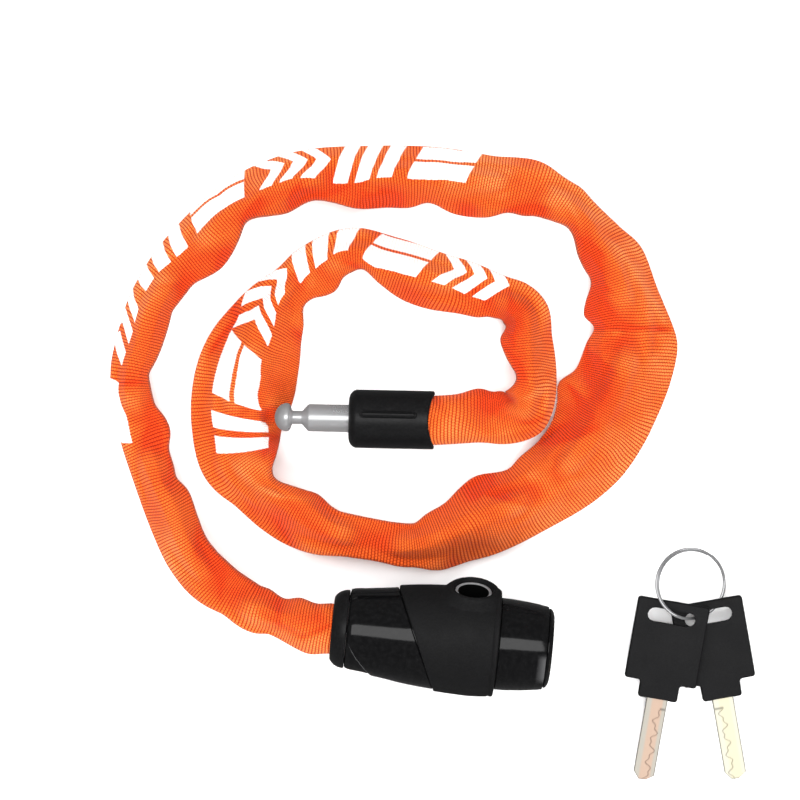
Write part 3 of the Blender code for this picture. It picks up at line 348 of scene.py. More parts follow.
# Painted glint: the light grey of gloss edges where they catch a lamp.
PAINTED_GLINT_GREY = (0.22, 0.22, 0.225)
BLADE_SHADE = (0.030, 0.028, 0.026)
BLADE_ROSE = (0.365, 0.262, 0.200)
BLADE_CREAM = (0.448, 0.422, 0.310)
BRUSHED_ALONG_BLADE = (1400, 60, 1400)
FLOOR_HALF = 1.6
FLOOR_WHITES = ((0.925, 0.925, 0.925), (0.935, 0.935, 0.935))
SKY_LIGHT = 0.13
LIGHTS = (
    ("box_left", (-1.25, 0.35, 1.05), (1.0, 1.0), 19.0, (0, 0, 0), False),
    ("box_right", (1.25, 0.45, 1.05), (1.0, 1.0), 13.5, (0, 0, 0), False),
    ("box_front", (0.1, -1.25, 1.05), (1.0, 1.0), 40.0, (0, 0, 0), False),
    ("box_back", (-0.1, 1.30, 1.05), (1.0, 1.0), 18.0, (0, 0, 0), False),
    ("top_fill", (0.05, -0.02, 1.60), (0.5, 0.5), 5.0, (0, 0, 0), False),
    ("overhead", (0.0, 0.10, 1.62), (1.70, 0.80), 10.0, (0.0, 0.10, 0), True),
)


# ---------------------------------------------------------------- curves and numbers


def smooth_curve(points, steps=16):
    """A smooth curve through the points (centripetal Catmull-Rom), as an array of its points."""
    p = np.array(points, float)
    p = np.vstack([2 * p[0] - p[1], p, 2 * p[-1] - p[-2]])
    pieces = []
    for i in range(1, len(p) - 2):
        a, b, c, d = p[i - 1 : i + 3]
        t1 = math.sqrt(np.linalg.norm(b - a))
        t2 = t1 + math.sqrt(np.linalg.norm(c - b))
        t3 = t2 + math.sqrt(np.linalg.norm(d - c))
        t = np.linspace(t1, t2, steps, endpoint=False)[:, None]
        ab = (t1 - t) / t1 * a + t / t1 * b
        bc = (t2 - t) / (t2 - t1) * b + (t - t1) / (t2 - t1) * c
        cd = (t3 - t) / (t3 - t2) * c + (t - t2) / (t3 - t2) * d
        abc = (t2 - t) / t2 * ab + t / t2 * bc
        bcd = (t3 - t) / (t3 - t1) * bc + (t - t1) / (t3 - t1) * cd
        pieces.append((t2 - t) / (t2 - t1) * abc + (t - t1) / (t2 - t1) * bcd)
    return np.vstack([*pieces, p[-2]])


def lengths(curve):
    """How far along the curve each of its points lies."""
    return np.concatenate([[0], np.cumsum(np.linalg.norm(np.diff(curve, axis=0), axis=1))])


def blurred(values, reach):
    """Values along the first axis, smoothed with a bell of that many samples each way."""
    bell = np.exp(-0.5 * (np.arange(-2 * reach, 2 * reach + 1) / (reach * 0.8)) ** 2)
    bell /= bell.sum()
    padded = np.concatenate([np.repeat(values[:1], 2 * reach, 0), values, np.repeat(values[-1:], 2 * reach, 0)])
    flat = padded.reshape(len(padded), -1)
    columns = [np.convolve(flat[:, k], bell, "valid") for k in range(flat.shape[1])]
    return np.stack(columns, axis=1).reshape(values.shape)


def shifted(values, rows):
    """Values moved along the first axis, with the end rows repeated."""
    return values[np.clip(np.arange(len(values)) + rows, 0, len(values) - 1)]


def smoothstep(low, high, x):
    """0 below low, 1 above high, and a smooth step between."""
    t = np.clip((x - low) / (high - low), 0, 1)
    return t * t * (3 - 2 * t)


def table(rows_mm, s):
    """A table's columns at the distances s, read in millimetres and returned in metres, without kinks."""
    rows = np.array(rows_mm, float) / 1000
    curve = smooth_curve(rows, 8)
    return [np.interp(s, curve[:, 0], curve[:, k]) for k in range(1, rows.shape[1])]


def noise_grid(points, scale, seed):
    """Perlin noise at each of the points, for features of that size."""
    flat = (points / scale).reshape(-1, 3)
    shift = Vector((seed * 7.3, seed * 3.1, seed * 5.7))
    values = [noise.noise(Vector(p) + shift) for p in flat]
    return np.array(values).reshape(points.shape[:-1])


# ---------------------------------------------------------------- the sleeve's shape


def chain_links():
    """Each link's two ends, half width and half height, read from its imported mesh."""
    links = []
    for name in sorted(node for node in frame["nodes"] if node.startswith("chain_link")):
        points = np.array([v.co for v in bpy.data.objects[name].data.vertices])
        middle = points.mean(0)
        ahead = np.linalg.svd(points - middle)[2][0]
        ahead *= np.sign(ahead[np.abs(ahead).argmax()])
        along = (points - middle) @ ahead
        side = np.array([-ahead[1], ahead[0], 0]) / np.linalg.norm(ahead[:2])
        half_width = np.abs((points - middle) @ side).max()
        half_height = np.abs((points - middle) @ np.cross(ahead, side)).max()
        links.append((middle + ahead * along.min(), middle + ahead * along.max(), half_width, half_height))
    return links


def over_links(flat, links):
    """For points on the floor: distance outside the nearest link, a smooth mix of the links' top and axis
    heights, and the height that cloth must clear there."""
    weights, tops, axes, clear = np.zeros((4, len(flat)))
    nearest = np.full(len(flat), np.inf)
    for start, end, half_width, half_height in links:
        step = (end - start)[:2]
        length = np.linalg.norm(step)
        t = np.clip((flat - start[:2]) @ step / length, 0, length)
        from_end = np.minimum(t, length - t)
        wide = np.sqrt(half_width**2 - np.maximum(half_width - from_end, 0) ** 2)
        tall = np.sqrt(half_height**2 - np.maximum(half_height - from_end, 0) ** 2)
        away = np.linalg.norm(flat - start[:2] - t[:, None] * step / length, axis=1) - wide
        away = np.maximum(away, 0)
        axis = start[2] + t / length * (end[2] - start[2])
        weight = np.exp(tall / TALL_BLEND - away / AWAY_BLEND)
        weights += weight
        tops += weight * (axis + tall)
        axes += weight * axis
        clear = np.maximum(clear, axis + tall - CLOTH_SLOPE * np.maximum(away - LINK_SHOULDER, 0))
        nearest = np.minimum(nearest, away)
    return nearest, tops / weights, axes / weights, clear


def room_for_links(s, middle, out, links):
    """How far the sleeve must reach at each section, on its outer and inner side, to hold the chain."""
    room = np.zeros((2, len(middle)))
    ahead = np.stack([out[:, 1], -out[:, 0]], axis=1)
    for start, end, half_width, _ in links:
        step = (end - start)[:2]
        length = np.linalg.norm(step)
        side = np.array([-step[1], step[0]]) / length
        home = np.linalg.norm((start + end)[:2] / 2 - middle, axis=1).argmin()
        elsewhere = np.abs(s - s[home]) > SAME_STRAND
        for share in np.linspace(0.01, 0.99, 40):
            from_end = length * min(share, 1 - share)
            corner = max(half_width - from_end, 0)
            reach = math.sqrt(half_width**2 - corner**2)
            for sign in (1, -1):
                offset = start[:2] + share * step + sign * reach * side - middle
                beside = np.where(elsewhere, np.inf, np.abs((offset * ahead).sum(1)))
                k = beside.argmin()
                across = offset[k] @ out[k]
                row = 0 if across > 0 else 1
                room[row, k] = max(room[row, k], abs(across))
    wide = np.max([np.roll(room, shift, axis=1) for shift in range(-4, 5)], axis=0)
    return blurred(wide.T, 3).T + BESIDE_LINK


def hinge_places(along, curve):
    """The five chain hinges: distance along the route, place, and the bodies before and after."""
    found = []
    for joint in frame["joints"]:
        if joint["name"].startswith("chain_bend"):
            place = np.array(joint["pos_m"])
            nearest = np.linalg.norm(curve - place[:2], axis=1).argmin()
            found.append((along[nearest], place, joint["parent"], joint["child"]))
    return sorted(found, key=lambda hinge: hinge[0])


def gathers(s, across, outer, inner):
    """Height added by the gathers: a slanted crease, with a shoulder on each side of it, runs in from each
    dip of the inner edge."""
    height = np.zeros(across.shape)
    near = 6
    dips = [i for i in range(near, len(s) - near) if inner[i] == inner[i - near : i + near + 1].min()]
    random = np.random.default_rng(11)
    for i in dips:
        slant = random.uniform(-GATHER_SLANT, GATHER_SLANT)
        depth = random.uniform(*GATHER_DEPTHS)
        reach = random.uniform(*GATHER_REACHES) * (inner[i] + outer[i])
        from_edge = across + inner[i]
        off = s[:, None] - s[i] - slant * from_edge
        width = 0.0013 + 0.13 * np.clip(from_edge, 0, 0.02)
        fade = np.clip(1 - from_edge / reach, 0, 1)
        crease = np.exp(-0.5 * (off / width) ** 2)
        shoulder = np.exp(-0.5 * ((np.abs(off) - 2.3 * width) / (1.2 * width)) ** 2)
        height += fade * depth * (0.6 * shoulder - crease)
    return height


def hollows(s, across):
    """Soft hollows in the cloth: how deep each point of it lies in them, up to 1.2."""
    deep = np.zeros(across.shape)
    for at, side, long, wide, slant, strength in HOLLOWS_MM:
        beside = across * 1000 - side
        along = s[:, None] * 1000 - at - slant * beside
        deep += strength * np.exp(-0.5 * (along / long) ** 2 - 0.5 * (beside / wide) ** 2)
    return np.minimum(deep, 1.2)


def crease_lines(s, across):
    """Sharp creases: how near each point of the cloth is to one, and how far it's on its far side, -1 to 1."""
    line, side = np.zeros((2, *across.shape))
    here = np.stack([np.broadcast_to(s[:, None] * 1000, across.shape), across * 1000], axis=2)
    for s_a, t_a, s_b, t_b, width, strength in CREASES_MM:
        start = np.array([s_a, t_a])
        step = np.array([s_b, t_b]) - start
        share = np.clip((here - start) @ step / (step @ step), 0, 1)
        offset = here - start - share[:, :, None] * step
        far = np.linalg.norm(offset, axis=2)
        sign = np.sign(offset @ np.array([-step[1], step[0]]))
        fade = strength * np.sin(math.pi * np.clip(0.12 + 0.76 * share, 0, 1)) ** 0.6
        line += fade * np.exp(-0.5 * (far / width) ** 2)
        side += fade * sign * np.exp(-far / (2.6 * width)) * (1 - np.exp(-far / (0.4 * width)))
    return line, side


class Sleeve:
    """The whole sleeve as rings of points, from the lock's nose to the ferrule."""

    def __init__(self):
        curve = smooth_curve(ROUTE) + np.array(ORIGIN_SHIFT)
        along = lengths(curve)
        links = chain_links()
        self.hinges = hinge_places(along, curve)
        places = [hinge[0] for hinge in self.hinges]
        cuts = [SLEEVE_START, *((a + b) / 2 for a, b in zip(places, places[1:])), SLEEVE_STOP]
        counts = [round((b - a) / RING_STEP) for a, b in zip(cuts, cuts[1:])]
        parts = [np.linspace(a, b, n, endpoint=False) for a, b, n in zip(cuts, cuts[1:], counts)]
        self.s = np.concatenate([*parts, [SLEEVE_STOP]])
        self.starts = [0, *np.cumsum(counts)]
        self.middle = np.stack([np.interp(self.s, along, curve[:, k]) for k in (0, 1)], axis=1)
        ahead = blurred(np.gradient(self.middle, axis=0), 11)
        self.ahead = ahead / np.linalg.norm(ahead, axis=1)[:, None]
        self.out = np.stack([-self.ahead[:, 1], self.ahead[:, 0]], axis=1)
        outer, inner = table(EDGES_MM, self.s)
        room = room_for_links(self.s, self.middle, self.out, links)
        held = smoothstep(*CHAIN_WITHIN[0], self.s) * (1 - smoothstep(*CHAIN_WITHIN[1], self.s))
        self.outer = blurred(np.maximum(outer, room[0] * held), 2)
        self.inner = blurred(np.maximum(inner, room[1] * held), 2)
        self.make_points(links)

    def make_points(self, links):
        """The rings start at the inner edge, run under the chain to the outer edge, and back over the top."""
        angle = math.pi + 2 * math.pi * np.arange(RING_POINTS) / RING_POINTS
        upper = np.sin(angle) > 1e-9
        lateral = np.sign(np.cos(angle)) * np.abs(np.cos(angle)) ** 0.9
        sides = np.where(lateral > 0, self.outer[:, None], self.inner[:, None])
        across = lateral * sides
        flat = self.middle[:, None, :] + across[:, :, None] * self.out[:, None, :]
        spot = np.concatenate([flat, np.zeros((*across.shape, 1))], axis=2)
        drape, spanned, base = self.hang(flat, sides - np.abs(across), links)
        deep = hollows(self.s, across)
        line, side = crease_lines(self.s, across)
        lumps = sum(noise_grid(spot, size, seed) * tall for seed, (size, tall) in enumerate(LUMPS, 1))
        folded = gathers(self.s, across, self.outer, self.inner) + lumps
        folded += CREASE_STEP * side - HOLLOW_DEPTH * deep - CREASE_DEPTH * line
        edge = base + EDGE_RISE
        above = edge + (drape + folded - edge) * (1 - np.abs(lateral) ** 3.0) ** 0.45
        above = np.maximum(above, base + LEAST_RISE)
        above = np.where(spanned > CLEARED_FROM, np.maximum(above, spanned + OVER_LINK / 2), above)
        above = np.minimum(above, self.under_stud(flat))
        below = edge - EDGE_RISE * (1 - np.abs(lateral) ** 5) ** 0.5
        height = np.where(upper, above, below)
        ends = 1 - smoothstep(*NOSE_ROUND, self.s) + smoothstep(*MOUTH_ROUND, self.s)
        end_height = np.where(self.s < SLEEVE_STOP / 2, NOSE_HEIGHT, STUD_HEIGHT)
        oval = end_height[:, None] + END_RADIUS * np.sin(angle) + folded * 0.5 * upper
        height += (oval - height) * ends[:, None]
        self.points = np.concatenate([flat, height[:, :, None]], axis=2)
        # Painted light and shade on the cloth: redder and darker in its valleys, hollows and creases, lighter
        # on one side of each crease and towards its outer edge, with random patches of tone from the noise.
        valley = np.clip((blurred(height, 7) - height) / VALLEY_DEPTH, -0.6, 1)
        painted_light_and_patches = 0.30 * lateral + 0.55 * noise_grid(spot, 0.030, 3)
        painted_shading = 0.5 * valley + 0.62 * deep + 0.55 * line - 0.30 * side - painted_light_and_patches
        self.painted_shading = np.clip(painted_shading, -1, 1.3) * upper
        # Painted shade along the tube's two side edges, where the cloth turns under towards the floor.
        self.edge_line = np.exp(-0.5 * (np.sin(angle) / 0.16) ** 2) * np.ones((len(self.s), 1))
        self.make_normals()
        self.make_maps()

    def hang(self, flat, to_edge, links):
        """Height of cloth hung over the links, the height that it has to clear, and that of its underside."""
        found = over_links(flat.reshape(-1, 2), links)
        away, top, axis, clear = (a.reshape(to_edge.shape) for a in found)
        centre = blurred(axis[:, (3 * RING_POINTS) // 4], 16)
        base = (np.maximum(centre - AXIS_OVER_FLOOR, 0) + FLOOR_GAP)[:, None]
        share = (1 - away / (away + to_edge + 0.0004)) ** 1.1
        drape = share * (top + OVER_LINK) + (1 - share) * (base + EDGE_RISE + DRAPE_START)
        spanned = np.max([shifted(clear, k) for k in range(-8, 9)], axis=0)
        return blurred(drape, 8), blurred(spanned, 4), base

    def under_stud(self, flat):
        """The highest that the cloth may lie, so that it passes under the stud's head."""
        tip, mouth = np.array(STUD_TIP), np.array(STUD_MOUTH)
        step = mouth - tip
        share = np.clip((flat - tip) @ step / (step @ step), 0, 1)
        far = np.linalg.norm(flat - tip - share[:, :, None] * step, axis=2)
        limit = STUD_HEIGHT - np.sqrt(np.maximum(STUD_HEAD**2 - far**2, 0)) - UNDER_STUD
        limit = np.where(far < STUD_HEAD, limit, STUD_HEIGHT + 0.9 * (far - STUD_HEAD))
        return limit + 0.05 * smoothstep(0.0, 0.02, share * np.linalg.norm(step) - 0.016)

    def make_normals(self):
        """Normals of the whole tube, so that no line shows where two pieces meet."""
        ahead = np.gradient(self.points, axis=0)
        around = np.roll(self.points, -1, axis=1) - np.roll(self.points, 1, axis=1)
        normals = np.cross(around, ahead)
        self.normals = normals / np.maximum(np.linalg.norm(normals, axis=2), 1e-12)[:, :, None]
        outward = ((self.points - self.points.mean(1)[:, None]) * self.normals).sum(2).mean()
        self.normals *= np.sign(outward)

    def make_maps(self):
        """Lengths in the cloth: along it, and around it from the outer edge, for the weave and the print."""
        closed = np.concatenate([self.points, self.points[:, :1]], axis=1)
        steps = np.linalg.norm(np.diff(closed, axis=1), axis=2)
        around = np.concatenate([np.zeros((len(self.s), 1)), np.cumsum(steps, axis=1)], axis=1)
        around -= around[:, RING_POINTS // 2][:, None]
        edge_line = self.middle + 0.6 * self.outer[:, None] * self.out
        stretch = np.repeat(lengths(edge_line)[:, None], RING_POINTS + 1, 1)
        grid = np.stack([stretch, around, 0 * around], axis=2)
        lean = noise_grid(grid, 0.022, 4) * 0.0022 + noise_grid(grid, 0.009, 5) * 0.0007
        drift = noise_grid(grid, 0.017, 6) * 0.0010
        self.weave_map = np.stack([stretch + lean, around + drift], axis=2)
        turn, width = (column[:, None] for column in table(BAND_MM, self.s))
        over_band = (around - turn) / width * BAND_WIDTH
        self.band_map = np.stack([np.repeat(self.s[:, None], RING_POINTS + 1, 1), over_band], axis=2)

    def piece(self, k, material):
        """Piece k as an object: an open tube of cloth from one cut to the next, that spans hinge k."""
        first, last = self.starts[k], self.starts[k + 1]
        index = np.arange((last - first + 1) * RING_POINTS).reshape(-1, RING_POINTS)
        beside = np.roll(index, -1, axis=1)
        faces = np.stack([index[:-1], index[1:], beside[1:], beside[:-1]], axis=2).reshape(-1, 4)
        mesh = bpy.data.meshes.new(f"sleeve_{k + 1}")
        mesh.from_pydata(self.points[first : last + 1].reshape(-1, 3), [], faces[:, ::-1].tolist())
        for name, values in (("weave", self.weave_map), ("band", self.band_map)):
            part = values[first : last + 1]
            low, high = part[:, :-1], part[:, 1:]
            corners = np.stack([low[:-1], low[1:], high[1:], high[:-1]], axis=2).reshape(-1, 4, 2)
            layer = mesh.uv_layers.new(name=name)
            layer.data.foreach_set("uv", corners[:, ::-1].reshape(-1).astype(np.float32))
        mesh.materials.append(material)
        mesh.shade_smooth()
        mesh.normals_split_custom_set_from_vertices(self.normals[first : last + 1].reshape(-1, 3).tolist())
        obj = link(bpy.data.objects.new(f"sleeve_{k + 1}", mesh))
        mark(obj, "painted_shading", self.painted_shading[first : last + 1].reshape(-1))
        mark(obj, "edge_line", self.edge_line[first : last + 1].reshape(-1))
        return obj

    def through_hinge(self, k, place):
        """The direction in which piece k turns from one span to the next, with its ends beyond the turn."""
        near = np.linalg.norm(self.middle - place, axis=1).argmin()
        ends = self.middle[[self.starts[k], self.starts[k + 1]]] - place
        ends /= np.linalg.norm(ends, axis=1)[:, None]
        direction = (ends[1] - ends[0]) / np.linalg.norm(ends[1] - ends[0]) + 0.5 * self.ahead[near]
        return direction / np.linalg.norm(direction)

    def path(self, k):
        """The points down the middle of piece k's tube."""
        first, last = self.starts[k], self.starts[k + 1]
        across = (self.outer - self.inner)[first : last + 1, None] / 2
        flat = self.middle[first : last + 1] + across * self.out[first : last + 1]
        height = self.points[first : last + 1, :, 2].mean(1)
        line = np.concatenate([flat, height[:, None]], axis=1)
        return line[:: max(1, len(line) // 36)].tolist() + [line[-1].tolist()]


def make_sleeve(material):
    """The sleeve's five pieces, each shown in place of the imported spans that it covers."""
    sleeve = Sleeve()
    for k, (_, place, before, after) in enumerate(sleeve.hinges):
        piece = sleeve.piece(k, material)
        piece.visible_glossy = False
        ahead = np.array([*sleeve.through_hinge(k, place[:2]), 0]) * HINGE_REACH
        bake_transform(piece)
        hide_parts(*[f"sleeve_span_{span}" for span in PIECE_SPANS[k]])
        path = sleeve.path(k)


# ---------------------------------------------------------------- objects and shaders


def link(obj):
    bpy.context.scene.collection.objects.link(obj)
    return obj


class Shader:
    """A material with a Principled BSDF, and short ways to add nodes that feed it."""

    def __init__(self, name, color, roughness, metallic=0.0, **settings):
        self.material = bpy.data.materials.new(name)
        self.material.use_nodes = True
        self.nodes = self.material.node_tree.nodes
        self.wires = self.material.node_tree.links
        self.surface = self.nodes["Principled BSDF"]
        self.put("Base Color", (*color, 1.0))
        self.put("Roughness", roughness)
        self.put("Metallic", metallic)
        for socket, value in settings.items():
            self.put(socket.replace("_", " "), value)

    def put(self, socket, value):
        """Sets an input of the Principled BSDF to a plain value."""
        self.surface.inputs[socket].default_value = value

    def feed(self, target, value):
        """Joins a socket to an input, or sets a plain value on it."""
        if isinstance(value, bpy.types.NodeSocket):
            self.wires.new(value, target)
        elif isinstance(value, tuple) and len(value) == 3 and target.type == "RGBA":
            target.default_value = (*value, 1.0)
        else:
            target.default_value = value

    def math(self, operation, *values):
        """The result of a Math node on sockets or numbers."""
        node = self.nodes.new("ShaderNodeMath")
        node.operation = operation
        return self.fed(node, values)

    def fed(self, node, values):
        """The first output of a node whose inputs take these values."""
        for target, value in zip(node.inputs, values):
            self.feed(target, value)
        return node.outputs[0]

    def mix(self, share, low, high):
        """A colour between two colours."""
        node = self.nodes.new("ShaderNodeMix")
        node.data_type = "RGBA"
        self.feed(node.inputs[0], share)
        self.feed(node.inputs[6], low)
        self.feed(node.inputs[7], high)
        return node.outputs[2]

    def between(self, value, low, high, soft):
        """1 where the value lies between low and high, with soft borders."""
        rise = self.ramp(value, low - soft, low + soft)
        fall = self.ramp(value, high - soft, high + soft)
        return self.math("SUBTRACT", rise, fall)

    def ramp(self, value, start, end, low=0.0, high=1.0):
        """Runs from low to high as the value runs from start to end."""
        return self.fed(self.nodes.new("ShaderNodeMapRange"), (value, start, end, low, high))

    def uv(self, name):
        """The two coordinates of a UV map, and both as a vector."""
        node = self.nodes.new("ShaderNodeUVMap")
        node.uv_map = name
        split = self.nodes.new("ShaderNodeSeparateXYZ")
        self.wires.new(node.outputs[0], split.inputs[0])
        return split.outputs[0], split.outputs[1], node.outputs[0]

    def attribute(self, name):
        """A number that the piece's vertices carry, or 0 on a piece without it."""
        node = self.nodes.new("ShaderNodeAttribute")
        node.attribute_name = name
        return node.outputs["Fac"]

    def noise(self, scale, detail=3.0, stretch=None, where=None):
        """Noise over the piece's own coordinates, or over others, stretched by a scale for each axis."""
        node = self.nodes.new("ShaderNodeTexNoise")
        node.inputs["Scale"].default_value = scale
        node.inputs["Detail"].default_value = detail
        where = where or self.nodes.new("ShaderNodeTexCoord").outputs["Object"]
        if stretch:
            mapping = self.nodes.new("ShaderNodeMapping")
            mapping.inputs["Scale"].default_value = stretch
            self.wires.new(where, mapping.inputs[0])
            where = mapping.outputs[0]
        self.wires.new(where, node.inputs["Vector"])
        return node.outputs["Fac"]

    def bump(self, height, depth, strength=1.0):
        """Bump of that depth in metres, where the height runs from 0 to 1."""
        node = self.nodes.new("ShaderNodeBump")
        node.inputs["Strength"].default_value = strength
        node.inputs["Distance"].default_value = depth
        self.wires.new(height, node.inputs["Height"])
        self.wires.new(node.outputs[0], self.surface.inputs["Normal"])

    def to(self, socket, value):
        """Joins a socket to an input of the Principled BSDF."""
        self.wires.new(value, self.surface.inputs[socket])


def weave_height(shader, u, v):
    """Ribbed plain weave: the height of the top yarn, from 0 to 1. The ribs run around the sleeve."""
    calc = shader.math
    rib = calc("DIVIDE", u, RIB_PITCH)
    odd = calc("MODULO", calc("FLOOR", rib), 2.0)
    stitch = calc("MULTIPLY_ADD", odd, 0.5, calc("DIVIDE", v, STITCH_PITCH))
    over_rib, over_stitch = (
        calc("ABSOLUTE", calc("SINE", calc("MULTIPLY", turns, math.pi))) for turns in (rib, stitch)
    )
    return calc("MULTIPLY", over_rib, calc("MULTIPLY_ADD", over_stitch, 0.60, 0.40))


def bars(shader, x, y, spans, margins=PRINT_MARGINS):
    """Bars of the print: each between two distances along the cell, all between two across the band."""
    across = shader.between(y, *margins, PRINT_BORDER)
    masks = [shader.math("MULTIPLY", shader.between(x, *span, PRINT_BORDER), across) for span in spans]
    return greatest(shader, masks)


def greatest(shader, masks):
    """1 where any of the masks is."""
    most = masks[0]
    for mask in masks[1:]:
        most = shader.math("MAXIMUM", most, mask)
    return most


def print_mask(shader, u, v, ragged):
    """Generic print: leaning bars, two long stripes or arrow heads, one kind to a cell."""
    calc = shader.math
    v = calc("ADD", v, calc("MULTIPLY_ADD", ragged, 0.0005, -0.00025))
    count = calc("DIVIDE", calc("SUBTRACT", u, BAND_FIRST), BAND_CELL)
    x = calc("MULTIPLY", calc("FRACT", count), BAND_CELL)
    leaned = calc("MULTIPLY_ADD", v, BAND_LEAN, x)
    from_middle = calc("ABSOLUTE", calc("SUBTRACT", v, BAND_WIDTH / 2))
    pointed = calc("MULTIPLY_ADD", from_middle, ARROW_LEAN, x)
    kinds = (
        bars(shader, leaned, v, [(at, at + BAR_WIDTH) for at in BAR_STARTS]),
        greatest(shader, [bars(shader, leaned, v, [STRIPE_ENDS], margins) for margins in STRIPES]),
        bars(shader, pointed, v, [(at, at + ARROW_WIDTH) for at in ARROW_STARTS]),
    )
    kind = calc("MODULO", calc("FLOOR", count), 3.0)
    chosen = [calc("MULTIPLY", mask, calc("COMPARE", kind, float(k), 0.5)) for k, mask in enumerate(kinds)]
    along = calc("MULTIPLY_ADD", v, BAND_LEAN, u)
    printed = greatest(shader, [shader.between(along, *ends, 0.0001) for ends in BAND_STRETCHES])
    return calc("MULTIPLY", greatest(shader, chosen), printed)


def fabric():
    """Orange plain-weave nylon with a white print on it, and a faint orange glow that is painted light, lifting
    the cloth's shade.
    """
    shader = Shader("orange_nylon", (0.66, 0.105, 0.02), 0.85, Sheen_Weight=0.06, Sheen_Roughness=0.4,
                    Emission_Color=PAINTED_GLOW_COLOUR, Emission_Strength=PAINTED_GLOW_STRENGTH, Specular_IOR_Level=0.25)
    u, v, cloth = shader.uv("weave")
    height = weave_height(shader, u, v)
    # Painted shading: the shaded crest and gap colours in the folds, the lit crest colour on the lit side.
    painted_shading = shader.attribute("painted_shading")
    painted_shade_share = shader.ramp(painted_shading, 0.0, 0.75)
    crest = shader.mix(painted_shade_share, FABRIC_CREST, FABRIC_CREST_PAINTED_SHADE)
    crest = shader.mix(shader.ramp(painted_shading, 0.0, -0.55), crest, FABRIC_CREST_PAINTED_LIGHT)
    gap = shader.mix(painted_shade_share, FABRIC_GAP, FABRIC_GAP_PAINTED_SHADE)
    colour = shader.mix(shader.ramp(height, 0.16, 0.72), gap, crest)
    speck = shader.ramp(shader.noise(1100.0, 2.0, where=cloth), 0.35, 0.65, 0.0, 0.16)
    colour = shader.mix(speck, colour, FABRIC_GAP)
    band_u, band_v, _ = shader.uv("band")
    white = print_mask(shader, band_u, band_v, shader.noise(900.0, 1.0, where=cloth))
    white = shader.math("MULTIPLY", white, shader.ramp(height, 0.02, 0.25, 0.62, 1.0))
    colour = shader.mix(white, colour, PRINT_WHITE)
    # Painted shade along the tube's side edges.
    border = shader.math("MULTIPLY", shader.attribute("edge_line"), 0.55)
    shader.to("Base Color", shader.mix(border, colour, FABRIC_EDGE_SHADE))
    shader.to("Roughness", shader.ramp(white, 0.0, 1.0, 0.88, 0.60))
    shader.bump(height, FABRIC_BUMP)
    return shader.material


def moulded(name, color, roughness, grain, depth, specular, satin_and_glint=False):
    """Moulded plastic: fine grain in its surface, and slightly uneven gloss. With satin and glint, it is
    rougher where marked satin, and takes a light-grey painted glint where marked.
    """
    shader = Shader(name, color, roughness, Specular_IOR_Level=specular)
    gloss = shader.ramp(shader.noise(90.0, 4.0), 0.3, 0.7, roughness * 0.85, min(roughness * 1.15, 1.0))
    tint = tuple(c * 1.5 + 0.002 for c in color)
    colour = shader.mix(shader.ramp(shader.noise(grain / 2, 5.0), 0.4, 0.75), color, tint)
    if satin_and_glint:
        gloss = shader.math("MULTIPLY_ADD", shader.attribute("satin"), 0.35, gloss)
        colour = shader.mix(shader.attribute("painted_glint"), colour, PAINTED_GLINT_GREY)
    shader.to("Roughness", gloss)
    shader.to("Base Color", colour)
    shader.bump(shader.noise(grain, 2.0), depth)
    return shader.material


def metal(name, color, roughness, metallic, centre=None, brushed=None):
    """Metal with faint spots of tarnish, brushed in one direction or not. Where a piece is marked as centre
    or edge_line, it takes another colour there: edge_line gives painted shade, and centre on the bushing gives
    painted shade in its bore."""
    shader = Shader(name, color, roughness, metallic)
    lines = shader.noise(1.0, 3.0, brushed) if brushed else shader.noise(60.0, 2.0)
    shader.to("Roughness", shader.ramp(lines, 0.3, 0.7, roughness * 0.85, roughness * 1.2))
    spots = shader.ramp(shader.noise(260.0, 5.0), 0.55, 0.80, 0.0, 0.12 if brushed else 0.04)
    colour = shader.mix(spots, color, tuple(c * 0.62 for c in color))
    if centre:
        colour = shader.mix(shader.attribute("centre"), colour, centre)
        colour = shader.mix(shader.attribute("edge_line"), colour, BLADE_SHADE)
    shader.to("Base Color", colour)
    shader.bump(lines, 0.0000012)
    return shader.material


def make_materials():
    """The materials by slot of the record. Two nodes have one of their own, under their name, and the glossy
    black with satin and glint is for the glossy pieces with painted glints on their edges."""
    along_blade = BRUSHED_ALONG_BLADE
    return {
        "orange_nylon": fabric(),
        "gloss_black": moulded("gloss_black", GLOSS_BLACK, 0.10, 1400.0, 0.000003, 0.42),
        "gloss_black_glinting": moulded("gloss_black_glinting", GLOSS_BLACK, 0.10, 1400.0, 0.000003, 0.42, True),
        "satin_black": moulded("satin_black", SATIN_BLACK, 0.36, 2600.0, 0.000012, 0.26),
        "soft_black": moulded("soft_black", SOFT_BLACK, 0.60, 4200.0, 0.000030, 0.22),
        "key_head_black": moulded("key_head_black", KEY_HEAD_BLACK, 0.50, 5200.0, 0.000030, 0.16),
        "bright_steel": metal("bright_steel", STEEL, 0.30, 0.80),
        "socket_bushing": metal("bushing_steel", STEEL, 0.30, 0.80, BORE_PAINTED_SHADE),
        "hardened_steel": metal("hardened_steel", (0.40, 0.40, 0.42), 0.38, 0.9),
        "die_cast_zinc": metal("die_cast_zinc", (0.14, 0.14, 0.145), 0.45, 1.0),
        "ring_chrome": metal("ring_chrome", (0.46, 0.46, 0.47), 0.26, 0.80),
        "nickel_silver": metal("nickel_silver", (0.300, 0.282, 0.245), 0.42, 0.15, BLADE_ROSE, along_blade),
        # The key plug lies in shade inside the lock: its metal is darkened as painted shade.
        "key_plug": metal("plug_nickel_painted_shade", (0.10, 0.098, 0.094), 0.35, 1.0),
        "brass": metal("brass", (0.445, 0.430, 0.350), 0.42, 0.10, BLADE_CREAM, along_blade),
    }


